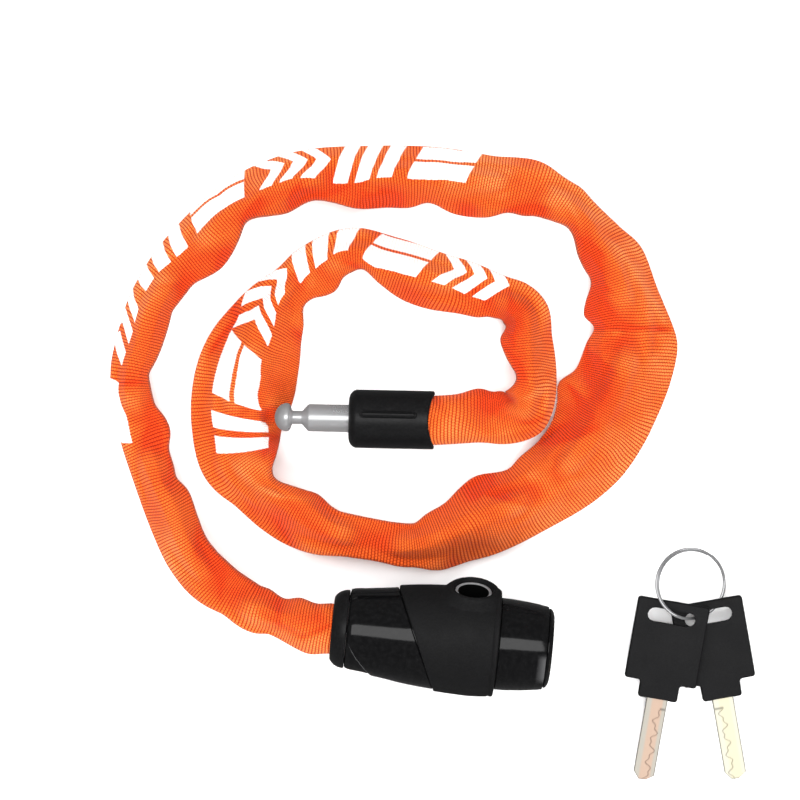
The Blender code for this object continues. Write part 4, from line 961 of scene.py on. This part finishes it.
def dress_frame(materials):
    """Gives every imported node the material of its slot."""
    for subpart in frame["record"]["subparts"]:
        mesh = bpy.data.objects[subpart["node"]].data
        mesh.materials.clear()
        mesh.materials.append(materials.get(subpart["node"], materials[subpart["material_slot"]]))


# ---------------------------------------------------------------- lock body


def local_frame(origin, turn, tilt=0.0):
    """The frame of a piece that lies turned on the floor, and tilted about its own X axis."""
    place = Matrix.Translation(Vector(origin) + Vector((*ORIGIN_SHIFT, 0)))
    return place @ Matrix.Rotation(turn, 4, "Z") @ Matrix.Rotation(tilt, 4, "X")


LOCK_FRAME = local_frame(LOCK_NOSE, LOCK_TURN)
STUD_FRAME = local_frame(FERRULE_MOUTH, STUD_TURN)


def mesh_object(name, verts, faces, material, matrix=None, sharp=None):
    """A smooth-shaded piece with its faces turned outward, and with edges over that angle kept sharp."""
    mesh = bpy.data.meshes.new(name)
    mesh.from_pydata([tuple(v) for v in verts], [], faces)
    mesh.materials.append(material)
    if matrix is not None:
        mesh.transform(matrix)
    bm = bmesh.new()
    bm.from_mesh(mesh)
    bmesh.ops.recalc_face_normals(bm, faces=bm.faces)
    bm.to_mesh(mesh)
    bm.free()
    mesh.shade_smooth()
    if sharp is not None:
        mesh.set_sharp_from_angle(angle=math.radians(sharp))
    return link(bpy.data.objects.new(name, mesh))


def mark(obj, name, values):
    """Gives every vertex of a piece a number that its material reads."""
    layer = obj.data.attributes.new(name, "FLOAT", "POINT")
    layer.data.foreach_set("value", np.array(values, np.float32))


def local_places(obj, matrix):
    """A piece's vertices in the frame that it was made in."""
    inverse = matrix.inverted()
    return [inverse @ vertex.co for vertex in obj.data.vertices]


def stands_for(obj, body, node):
    """Joins a piece to its body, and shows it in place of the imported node."""
    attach(obj, body)
    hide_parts(node)


def ring_surface(name, rows, material, matrix, sharp=30):
    """A closed skin from rows of points, each row a ring about the X axis. The last row joins the first."""
    count = len(rows[0])
    verts = [point for row in rows for point in row]
    faces = []
    for i in range(len(rows)):
        low, high = i * count, (i + 1) % len(rows) * count
        for k in range(count):
            j = (k + 1) % count
            faces.append((low + k, low + j, high + j, high + k))
    return mesh_object(name, verts, faces, material, matrix, sharp)


def circle(along, radius, steps):
    turns = [2 * math.pi * k / steps for k in range(steps)]
    return [(along, radius * math.cos(a), radius * math.sin(a)) for a in turns]


def rounded_profile(points, radius, steps=4):
    """A closed profile with each of its corners rounded."""
    found = []
    count = len(points)
    for i in range(count):
        before, here, after = (np.array(points[(i + k) % count]) for k in (-1, 0, 1))
        a, b = before - here, after - here
        reach = min(radius, np.linalg.norm(a) * 0.45, np.linalg.norm(b) * 0.45)
        first = here + a / np.linalg.norm(a) * reach
        last = here + b / np.linalg.norm(b) * reach
        for k in range(steps + 1):
            t = k / steps
            found.append(tuple((1 - t) ** 2 * first + 2 * t * (1 - t) * here + t * t * last))
    return found


def lathe(name, profile, material, matrix, radius=0.0002, steps=LATHE_STEPS):
    """A piece turned about the X axis from its closed profile of (along, radius)."""
    rows = [circle(u, r, steps) for u, r in rounded_profile(profile, radius)]
    return ring_surface(name, rows, material, matrix)


def bent_wire(name, steps, sides, section, material, matrix, sharp):
    """A wire with closed ends. section(share, turn) is a point of its skin, at a share of its length."""
    verts, faces = [], []
    for k in range(steps + 1):
        verts += [section(k / steps, 2 * math.pi * j / sides) for j in range(sides)]
    for a in range(steps * sides):
        b = a + 1 if (a + 1) % sides else a + 1 - sides
        faces.append((a, b, b + sides, a + sides))
    faces += [tuple(range(sides)), tuple(range(steps * sides, (steps + 1) * sides))]
    return mesh_object(name, verts, faces, material, matrix, sharp)


def body_radius(along):
    """The lock body's outline: a smooth curve through its sizes."""
    curve = smooth_curve(list(zip(BODY_PLACES, BODY_RADII)), 12)
    return np.interp(along, curve[:, 0], curve[:, 1])


def saddle_front():
    """Where the saddle's slanted leading edge crosses the body, all round it."""
    along = SADDLE_EDGE_AT_AXIS
    for _ in range(4):
        along = SADDLE_EDGE_AT_AXIS + SADDLE_EDGE_SLOPE * COSINE * (body_radius(along) + SADDLE_STEP)
    return along


def shell_seam():
    """The curved seam behind the collar: it sweeps back on the side away from the socket."""
    return SHELL_START + np.where(COSINE < 0, SEAM_REACH * np.abs(COSINE) ** 1.8, 0) - 0.0004


def make_nose_shell(material):
    """The glossy shell, stepped down in front of its seam, and under the saddle."""
    seam, front = shell_seam(), saddle_front() - 0.0003
    start = np.maximum(seam, SHELL_START + 0.0005)
    skirt = np.full(LATHE_STEPS, SHELL_START)
    rows = [(skirt, body_radius(skirt) - 0.0010), (skirt + 0.0003, body_radius(skirt + 0.0003) - SEAM_STEP)]
    cut_in = SEAM_STEP * smoothstep(0.0006, 0.0012, seam - SHELL_START)
    for k in range(1, 9):
        along = skirt + 0.0003 + (start - skirt - 0.0003) * k / 8
        rows.append((along, body_radius(along) + SHELL_LIFT - cut_in))
    for step, lift in ((0.00010, -0.00004), (0.00022, 0.00012), (0.00040, SHELL_LIFT)):
        rows.append((start + step, body_radius(start) + lift))
    for k in range(1, 25):
        along = start + 0.0004 + (front - start - 0.0008) * k / 24
        rows.append((along, body_radius(along) + SHELL_LIFT))
    rows += [(front, body_radius(front) - 0.0001), (front, body_radius(front) - SHELL_SINK)]
    for k in range(1, 7):
        along = front + (SHELL_END - front) * k / 6
        rows.append((along, body_radius(along) - SHELL_SINK))
    for along, radius in ((SHELL_END, 0.0166), (0.030, 0.0150), (0.018, 0.0142), (SHELL_START, 0.0122)):
        rows.append((along + 0 * skirt, radius + 0 * skirt))
    points = [list(zip(u, r * COSINE, r * SINE)) for u, r in rows]
    shell = ring_surface("nose_shell_gloss", points, material, LOCK_FRAME, 28)
    swept = seam - SHELL_START > 0.0008
    # Painted glint: a light-grey line on the seam's edge, on its lower side, where it catches a lamp.
    glint = swept * smoothstep(0.25, 0.75, -COSINE) * (SINE > 0)
    mark(shell, "satin", np.concatenate([swept * (1 <= i <= 9) for i in range(len(rows))]))
    mark(shell, "painted_glint", np.concatenate([glint * (i in (10, 11)) for i in range(len(rows))]))
    socket_cut(shell, BUSHING_OUTER + CUT_ROOM, BUSHING_OUTER + CUT_ROOM)
    stands_for(shell, "lock_body", "nose_shell")


def socket_frame():
    """The stud socket's frame: its X axis points out of the mouth."""
    out = Vector((0, math.cos(SOCKET_RISE), math.sin(SOCKET_RISE)))
    ahead = Vector((1, 0, 0))
    axes = Matrix((out, out.cross(ahead), -ahead)).transposed()
    return LOCK_FRAME @ Matrix.Translation((SOCKET_AT, 0, 0)) @ axes.to_4x4()


def socket_cut(obj, bore, mouth):
    """Cuts the socket's round hole, widening at its mouth, through a piece."""
    steps = 96
    ends = [(SOCKET_FLOOR, bore), (BUSHING_FACE, bore), (SOCKET_MOUTH + 0.0012, mouth + 0.0006)]
    verts = [point for u, r in ends for point in circle(u, r, steps)]
    faces = [tuple(range(steps)), tuple(range(2 * steps, 3 * steps))]
    for a in range(2 * steps):
        b = a + 1 if (a + 1) % steps else a + 1 - steps
        faces.append((a, b, b + steps, a + steps))
    cutter = mesh_object("socket_cutter", verts, faces, obj.data.materials[0], socket_frame())
    step = obj.modifiers.new("socket", "BOOLEAN")
    step.operation = "DIFFERENCE"
    step.object = cutter
    graph = bpy.context.evaluated_depsgraph_get()
    carved = bpy.data.meshes.new_from_object(obj.evaluated_get(graph), depsgraph=graph)
    obj.modifiers.clear()
    obj.data = carved
    obj.data.shade_smooth()
    obj.data.set_sharp_from_angle(angle=math.radians(30))
    bpy.data.objects.remove(cutter)


def hump_lift(along, base):
    """How far the socket's hump stands above the saddle, with a soft fillet round it."""
    away = np.arctan2(np.sin(TURNS - SOCKET_RISE), np.cos(TURNS - SOCKET_RISE))
    flat_top = SOCKET_MOUTH / np.maximum(np.cos(away), 0.5)
    beside = np.where(np.abs(away) < 1.2, flat_top * np.sin(away), 1.0)
    from_axis = np.hypot(along - SOCKET_AT, beside)
    rise = 1 - smoothstep(HUMP_RADIUS - HUMP_FILLET[0], HUMP_RADIUS + HUMP_FILLET[1], from_axis)
    return np.maximum(flat_top - base, 0) * rise


def make_saddle(material):
    """The soft overmould: slanted front, thin rear lip, socket hump, and a small flat to rest on."""
    front, end = saddle_front(), np.full(LATHE_STEPS, SADDLE_END)
    skin = SADDLE_STEP - SADDLE_SKIN
    places = [(front, skin), (front, SADDLE_STEP - 0.0004), (front + 0.0001, SADDLE_STEP - 0.00012)]
    rows = [(along, body_radius(front) + lift) for along, lift in places]
    steps = 84
    for k in range(steps + 1):
        along = front + 0.0004 + (end - front - 0.0007) * k / steps
        base = body_radius(along) + SADDLE_STEP
        off_groove = (along - SADDLE_GROOVE_AT) / SADDLE_GROOVE_WIDTH
        groove = SADDLE_GROOVE_DEPTH * np.exp(-0.5 * off_groove**2)
        rows.append((along, base + hump_lift(along, base) - groove))
    rows += [(end, body_radius(end) + SADDLE_STEP - 0.0003), (end, body_radius(end) + skin)]
    for k in range(1, 8):
        along = end + (front - end) * k / 8
        rows.append((along, body_radius(along) + skin))
    points = [list(zip(u, r * COSINE, np.maximum(r * SINE, -REST_FLAT_HEIGHT))) for u, r in rows]
    saddle = ring_surface("saddle_overmould", points, material, LOCK_FRAME, 32)
    socket_cut(saddle, BUSHING_OUTER + CUT_ROOM, HUMP_MOUTH_RADIUS + 0.0006)
    stands_for(saddle, "lock_body", "grip_saddle")


def make_lock_body(materials):
    """The trim of the lock body, from its collar to its end cap, and the steel bushing in its socket."""
    collar = [
        (0.0000, 0.0105), (0.0000, 0.0116), (0.0007, 0.0127), (0.0020, 0.0138), (0.0036, 0.0145),
        (COLLAR_END, 0.0148), (COLLAR_END, 0.0122), (0.0036, 0.0122), (0.0036, 0.0102), (0.0006, 0.0102),
    ]
    piece = lathe("collar_ring", collar, materials["satin_black"], LOCK_FRAME, 0.0006)
    stands_for(piece, "lock_body", "nose_collar")
    make_nose_shell(materials["gloss_black_glinting"])
    make_saddle(materials["soft_black"])
    barrel = [
        (0.0623, 0.0138), (0.0623, 0.0172), (0.0665, 0.0171), (0.0725, 0.0166), (0.0765, 0.0161),
        (0.0802, BARREL_END_RADIUS), (0.0802, 0.0146), (0.0781, 0.0146), (0.0781, 0.0138),
    ]
    piece = lathe("barrel_gloss", barrel, materials["gloss_black_glinting"], LOCK_FRAME, 0.0004)
    # Painted glint: a soft light-grey band on part of the barrel's rear edge, where it catches a lamp.
    glint = []
    for p in local_places(piece, LOCK_FRAME):
        low = -p.y / BARREL_END_RADIUS
        there = p.x > BARREL_GLINT_START and p.z > 0
        glint.append(0.25 * there * smoothstep(0.08, 0.25, low) * (1 - smoothstep(0.65, 0.85, low)))
    mark(piece, "painted_glint", glint)
    stands_for(piece, "lock_body", "end_barrel")
    cap = [
        (0.0786, CAP_HOLE), (0.0786, 0.0142), (0.0804, 0.0143), (0.0806, 0.0150), (0.0813, 0.0147),
        (0.0820, 0.0138), (0.0824, 0.0126), (0.0824, CAP_HOLE + 0.0006), (0.0818, CAP_HOLE),
    ]
    piece = lathe("cap_gloss", cap, materials["gloss_black"], LOCK_FRAME, 0.0003)
    stands_for(piece, "lock_body", "end_cap")
    inner = BUSHING_FACE - BUSHING_LENGTH
    bushing = [
        (inner, BUSHING_INNER), (inner, BUSHING_OUTER), (BUSHING_FACE, BUSHING_OUTER),
        (BUSHING_FACE, BUSHING_INNER + 0.0004), (BUSHING_FACE - 0.0004, BUSHING_INNER),
    ]
    piece = lathe("socket_ring", bushing, materials["socket_bushing"], socket_frame(), 0.0002, 96)
    places = local_places(piece, socket_frame())
    # Painted shade: the bushing's wall inside its bore takes a near-black colour.
    mark(piece, "centre", [
        p.x < BUSHING_FACE - 0.0003 and math.hypot(p.y, p.z) < BUSHING_INNER + 0.0003 for p in places
    ])
    stands_for(piece, "lock_body", "socket_bushing")


def make_latch_spring(material):
    """The coil spring behind the latch."""
    def section(share, turn):
        angle = 2 * math.pi * SPRING_TURNS * share
        radius = SPRING_RADIUS + SPRING_WIRE * math.cos(turn)
        along = low + (high - low) * share + SPRING_WIRE * math.sin(turn)
        return (along, radius * math.cos(angle), radius * math.sin(angle))

    low, high = SPRING_START + SPRING_WIRE, SPRING_END - SPRING_WIRE
    coil = bent_wire("latch_spring_coil", 24 * SPRING_TURNS, 10, section, material, LOCK_FRAME, 30)
    stands_for(coil, "lock_body", "latch_spring")
    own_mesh(coil)


def make_ferrule(material):
    """The stud end's plastic sleeve: a scooped mouth, a rounded far end, and a plain bar in a moulded slot."""
    straight = FERRULE_LENGTH - FERRULE_CORNER
    profile = [(0.0, FERRULE_RADIUS - 0.0006), (0.0002, FERRULE_RADIUS - 0.0002), (0.0006, FERRULE_RADIUS)]
    profile += [(u, FERRULE_RADIUS) for u in np.linspace(0.0010, straight, FERRULE_ROWS)]
    for k in range(1, 15):
        angle = math.pi / 2 * k / 14
        radius = FERRULE_RADIUS - FERRULE_DOME * (1 - math.cos(angle))
        profile.append((straight + FERRULE_CORNER * math.sin(angle), radius))
    shoulder, shank = FERRULE_LENGTH - 0.0100, STUD_SHANK + CUT_ROOM
    profile += [(FERRULE_LENGTH, shank), (shoulder, shank), (shoulder, FERRULE_BORE), (0.0, FERRULE_BORE)]
    rows = []
    for along, radius in profile:
        beside = radius * np.where(np.abs(SINE) > 0.5, np.cos(TURNS + np.sign(SINE) * MARK_TURN), 1.0)
        past_end = max(abs(along - MARK_AT) - (MARK_LENGTH - MARK_WIDTH) / 2, 0)
        from_line = np.hypot(past_end, beside)
        slot = 1 - smoothstep(MARK_WIDTH / 2 - 0.00015, MARK_WIDTH / 2 + 0.00012, from_line)
        bar = 1 - smoothstep(MARK_WIDTH / 2 - 0.00082, MARK_WIDTH / 2 - 0.00055, from_line)
        sunk = MARK_DEPTH * (slot - bar) if radius > FERRULE_BORE + 0.0008 else 0
        scoop = MOUTH_SCOOP * np.abs(SINE) ** 1.6 * max(0.0, 1 - along / 0.0060)
        rows.append(list(zip(along + scoop, (radius - sunk) * COSINE, (radius - sunk) * SINE)))
    piece = ring_surface("ferrule_satin", rows, material, STUD_FRAME, 40)
    stands_for(piece, "chain_span_6", "stud_ferrule")


def make_stud(material):
    """The turned stud: its flange in the ferrule, shank, groove and domed head."""
    tip, neck, head = STUD_LENGTH, STUD_NECK, STUD_HEAD
    profile = [
        (0.0130, 0.00001), (0.0130, 0.0042), (0.0205, 0.0042), (0.0205, STUD_SHANK),
        (tip - 0.0127, STUD_SHANK), (tip - 0.0104, neck), (tip - 0.0066, neck), (tip - 0.0060, 0.0044),
        (tip - 0.0055, head - 0.0002), (tip - STUD_DOME, head),
    ]
    for k in range(1, 13):
        angle = math.pi / 2 * k / 12
        profile.append((tip - STUD_DOME * (1 - math.sin(angle)), max(head * math.cos(angle), 0.00001)))
    piece = lathe("stud_turned", profile, material, STUD_FRAME, 0.0005, 240)
    stands_for(piece, "chain_span_6", "stud_bolt")


# ---------------------------------------------------------------- keys and ring


def blade_half_width(side, y):
    """The blade's outline: straight edges, and slanted corners at the tip."""
    corner, cut = LEFT_CORNER if side < 0 else RIGHT_CORNER
    return BLADE_WIDTH / 2 - cut * max(0, 1 - (y - BLADE_TIP) / corner)


def milled_depth(kind, across, y):
    """How deep the wavy side of the blade is milled below its flat face."""
    if y > BLADE_MILL_ROOT:
        return 0.0
    phase = (BLADE_MILL_ROOT - y) / MILL_WAVE + (0.35 if kind == "b" else 0.0)
    border = (0.0010 if kind == "a" else -0.0012) + 0.0009 * math.sin(2 * math.pi * phase)
    border += 0.0005 * math.sin(2 * math.pi * phase * 2.3 + 1.1)
    start = min(1, (BLADE_MILL_ROOT - y) / 0.0012)
    inside = smoothstep(-0.00022, 0.00022, (border - across) if kind == "b" else (across - border))
    return MILL_DEPTH * float(inside) * start


def make_blade(kind, material, slot, turn):
    """A flat key blade, with a wavy track milled in its upper and lower faces."""
    columns, rows = BLADE_COLUMNS, BLADE_ROWS
    verts, faces, dark, centre = [], [], [], []
    for y in np.linspace(BLADE_TIP, BLADE_ROOT, rows):
        low, high = -blade_half_width(-1, y), blade_half_width(1, y)
        for face in (1, -1):
            for k in range(columns):
                across = low + (high - low) * k / (columns - 1)
                edge = min(across - low, high - across, y - BLADE_TIP)
                bevel = max(0, 0.00022 - edge) * 0.8
                depth = milled_depth(kind, across * face, y)
                verts.append((across, y, face * (BLADE_THICKNESS / 2 - bevel - depth)))
                slope = 4 * depth / MILL_DEPTH * (1 - depth / MILL_DEPTH)
                # Painted shade: darker along the blade's bevelled edges and on the slopes of its milled track.
                dark.append(max(0.75 * (1 - smoothstep(0.00012, 0.00042, edge)), 0.6 * slope))
                centre.append(1 - smoothstep(0.0016, 0.0026, abs(across - 0.0003)))
    ring = 2 * columns
    for i in range(rows - 1):
        for k in range(ring - 1):
            a = i * ring + k
            if k != columns - 1:
                faces.append((a, a + 1, a + ring + 1, a + ring))
        for a in (i * ring, i * ring + columns - 1):
            faces.append((a, a + ring, a + ring + columns, a + columns))
    for base in (0, (rows - 1) * ring):
        for a in range(base, base + columns - 1):
            faces.append((a, a + 1, a + columns + 1, a + columns))
    obj = mesh_object(f"key_{kind}_milled_blade", verts, faces, material, local_frame(slot, turn, KEY_TILT), 40)
    mark(obj, "edge_line", dark)
    mark(obj, "centre", centre)
    stands_for(obj, f"key_{kind}_body", f"key_{kind}_blade")


def ring_height(angle):
    """Height of the ring's wire: it dives through both key heads near angle 0, and climbs back behind."""
    size = abs(angle)
    if size <= RING_DIP:
        share = math.sin(math.pi / 2 * size / RING_DIP)
    elif size <= math.pi / 2:
        share = 1.0
    else:
        share = (1 + math.cos(2 * (size - math.pi / 2))) / 2
    return RING_MIDDLE - RING_LIFT * math.copysign(share, angle)


def ring_point(angle):
    """The place of the ring's wire, at an angle from its side nearest the keys."""
    x = RING_CENTRE[0] + ORIGIN_SHIFT[0] + RING_RADIUS * math.sin(angle)
    y = RING_CENTRE[1] + ORIGIN_SHIFT[1] - RING_RADIUS * math.cos(angle)
    wrapped = (angle + math.pi) % (2 * math.pi) - math.pi
    return Vector((x, y, ring_height(wrapped)))


def make_split_ring(material):
    """Two full turns of flattened spring wire on each other, with a step where one passes to the next."""
    def flattened(value):
        return math.copysign(abs(value) ** 0.75, value)

    def section(share, turn):
        angle = RING_START + 2 * math.pi * RING_TURNS * share
        ahead = (ring_point(angle + 0.02) - ring_point(angle - 0.02)).normalized()
        out = Vector((math.sin(angle), -math.cos(angle), 0))
        up = out.cross(ahead).normalized()
        level = (smoothstep(0.47, 0.53, share) * 2 - 1) * RING_COIL_RISE
        lean = level * 0.9 * (0.35 + 0.65 * math.cos(angle - RING_LEAN))
        wide = RING_COIL_WIDE * flattened(math.cos(turn))
        tall = RING_COIL_HALF * flattened(math.sin(turn))
        return ring_point(angle) + out * (lean + wide) + up * (level + tall)

    piece = bent_wire("split_ring_coil", RING_STEPS, 12, section, material, None, 60)
    stands_for(piece, "ring_body", "key_ring")


# ---------------------------------------------------------------- view, floor and light


def make_camera():
    """Looks straight down, and takes in the whole lock and its keys."""
    data = bpy.data.cameras.new("camera")
    data.sensor_width = SENSOR_WIDTH
    data.lens = SENSOR_WIDTH * CAMERA_HEIGHT / VIEW_WIDTH
    camera = link(bpy.data.objects.new("camera", data))
    camera.location = (*VIEW_CENTRE, CAMERA_HEIGHT)
    bpy.context.scene.camera = camera


def soft_light(name, place, size, energy, aim, gloss):
    """A soft box. Only one with gloss shows in reflections, as lamps do behind a polariser."""
    data = bpy.data.lights.new(name, "AREA")
    data.shape = "RECTANGLE"
    data.size, data.size_y = size
    data.energy = energy
    light = link(bpy.data.objects.new(name, data))
    light.location = place
    light.rotation_euler = (Vector(aim) - Vector(place)).to_track_quat("-Z", "Y").to_euler()
    light.visible_glossy = gloss


def make_studio():
    """A white floor that reflections don't show, a faint white sky, and soft boxes on every side."""
    floor = Shader("floor_white", (0.93, 0.93, 0.93), 0.9)
    grain = floor.ramp(floor.noise(300.0, 2.0), 0.3, 0.7)
    floor.to("Base Color", floor.mix(grain, *FLOOR_WHITES))
    mesh = bpy.data.meshes.new("floor")
    far = FLOOR_HALF
    mesh.from_pydata([(-far, -far, 0), (far, -far, 0), (far, far, 0), (-far, far, 0)], [], [(0, 1, 2, 3)])
    mesh.materials.append(floor.material)
    ground = link(bpy.data.objects.new("floor", mesh))
    ground.visible_glossy = False
    world = bpy.data.worlds.new("studio")
    world.use_nodes = True
    background = world.node_tree.nodes["Background"]
    background.inputs[0].default_value = (1, 1, 1, 1)
    background.inputs[1].default_value = SKY_LIGHT
    bpy.context.scene.world = world
    bpy.context.scene.view_settings.view_transform = "Standard"
    for light in LIGHTS:
        soft_light(*light)


materials = make_materials()
make_camera()
make_studio()
dress_frame(materials)
make_sleeve(materials["orange_nylon"])
make_lock_body(materials)
make_latch_spring(materials["bright_steel"])
make_ferrule(materials["satin_black"])
make_stud(materials["bright_steel"])
make_blade("a", materials["nickel_silver"], KEY_A_SLOT, KEY_A_TURN)
make_blade("b", materials["brass"], KEY_B_SLOT, KEY_B_TURN)
make_split_ring(materials["ring_chrome"])
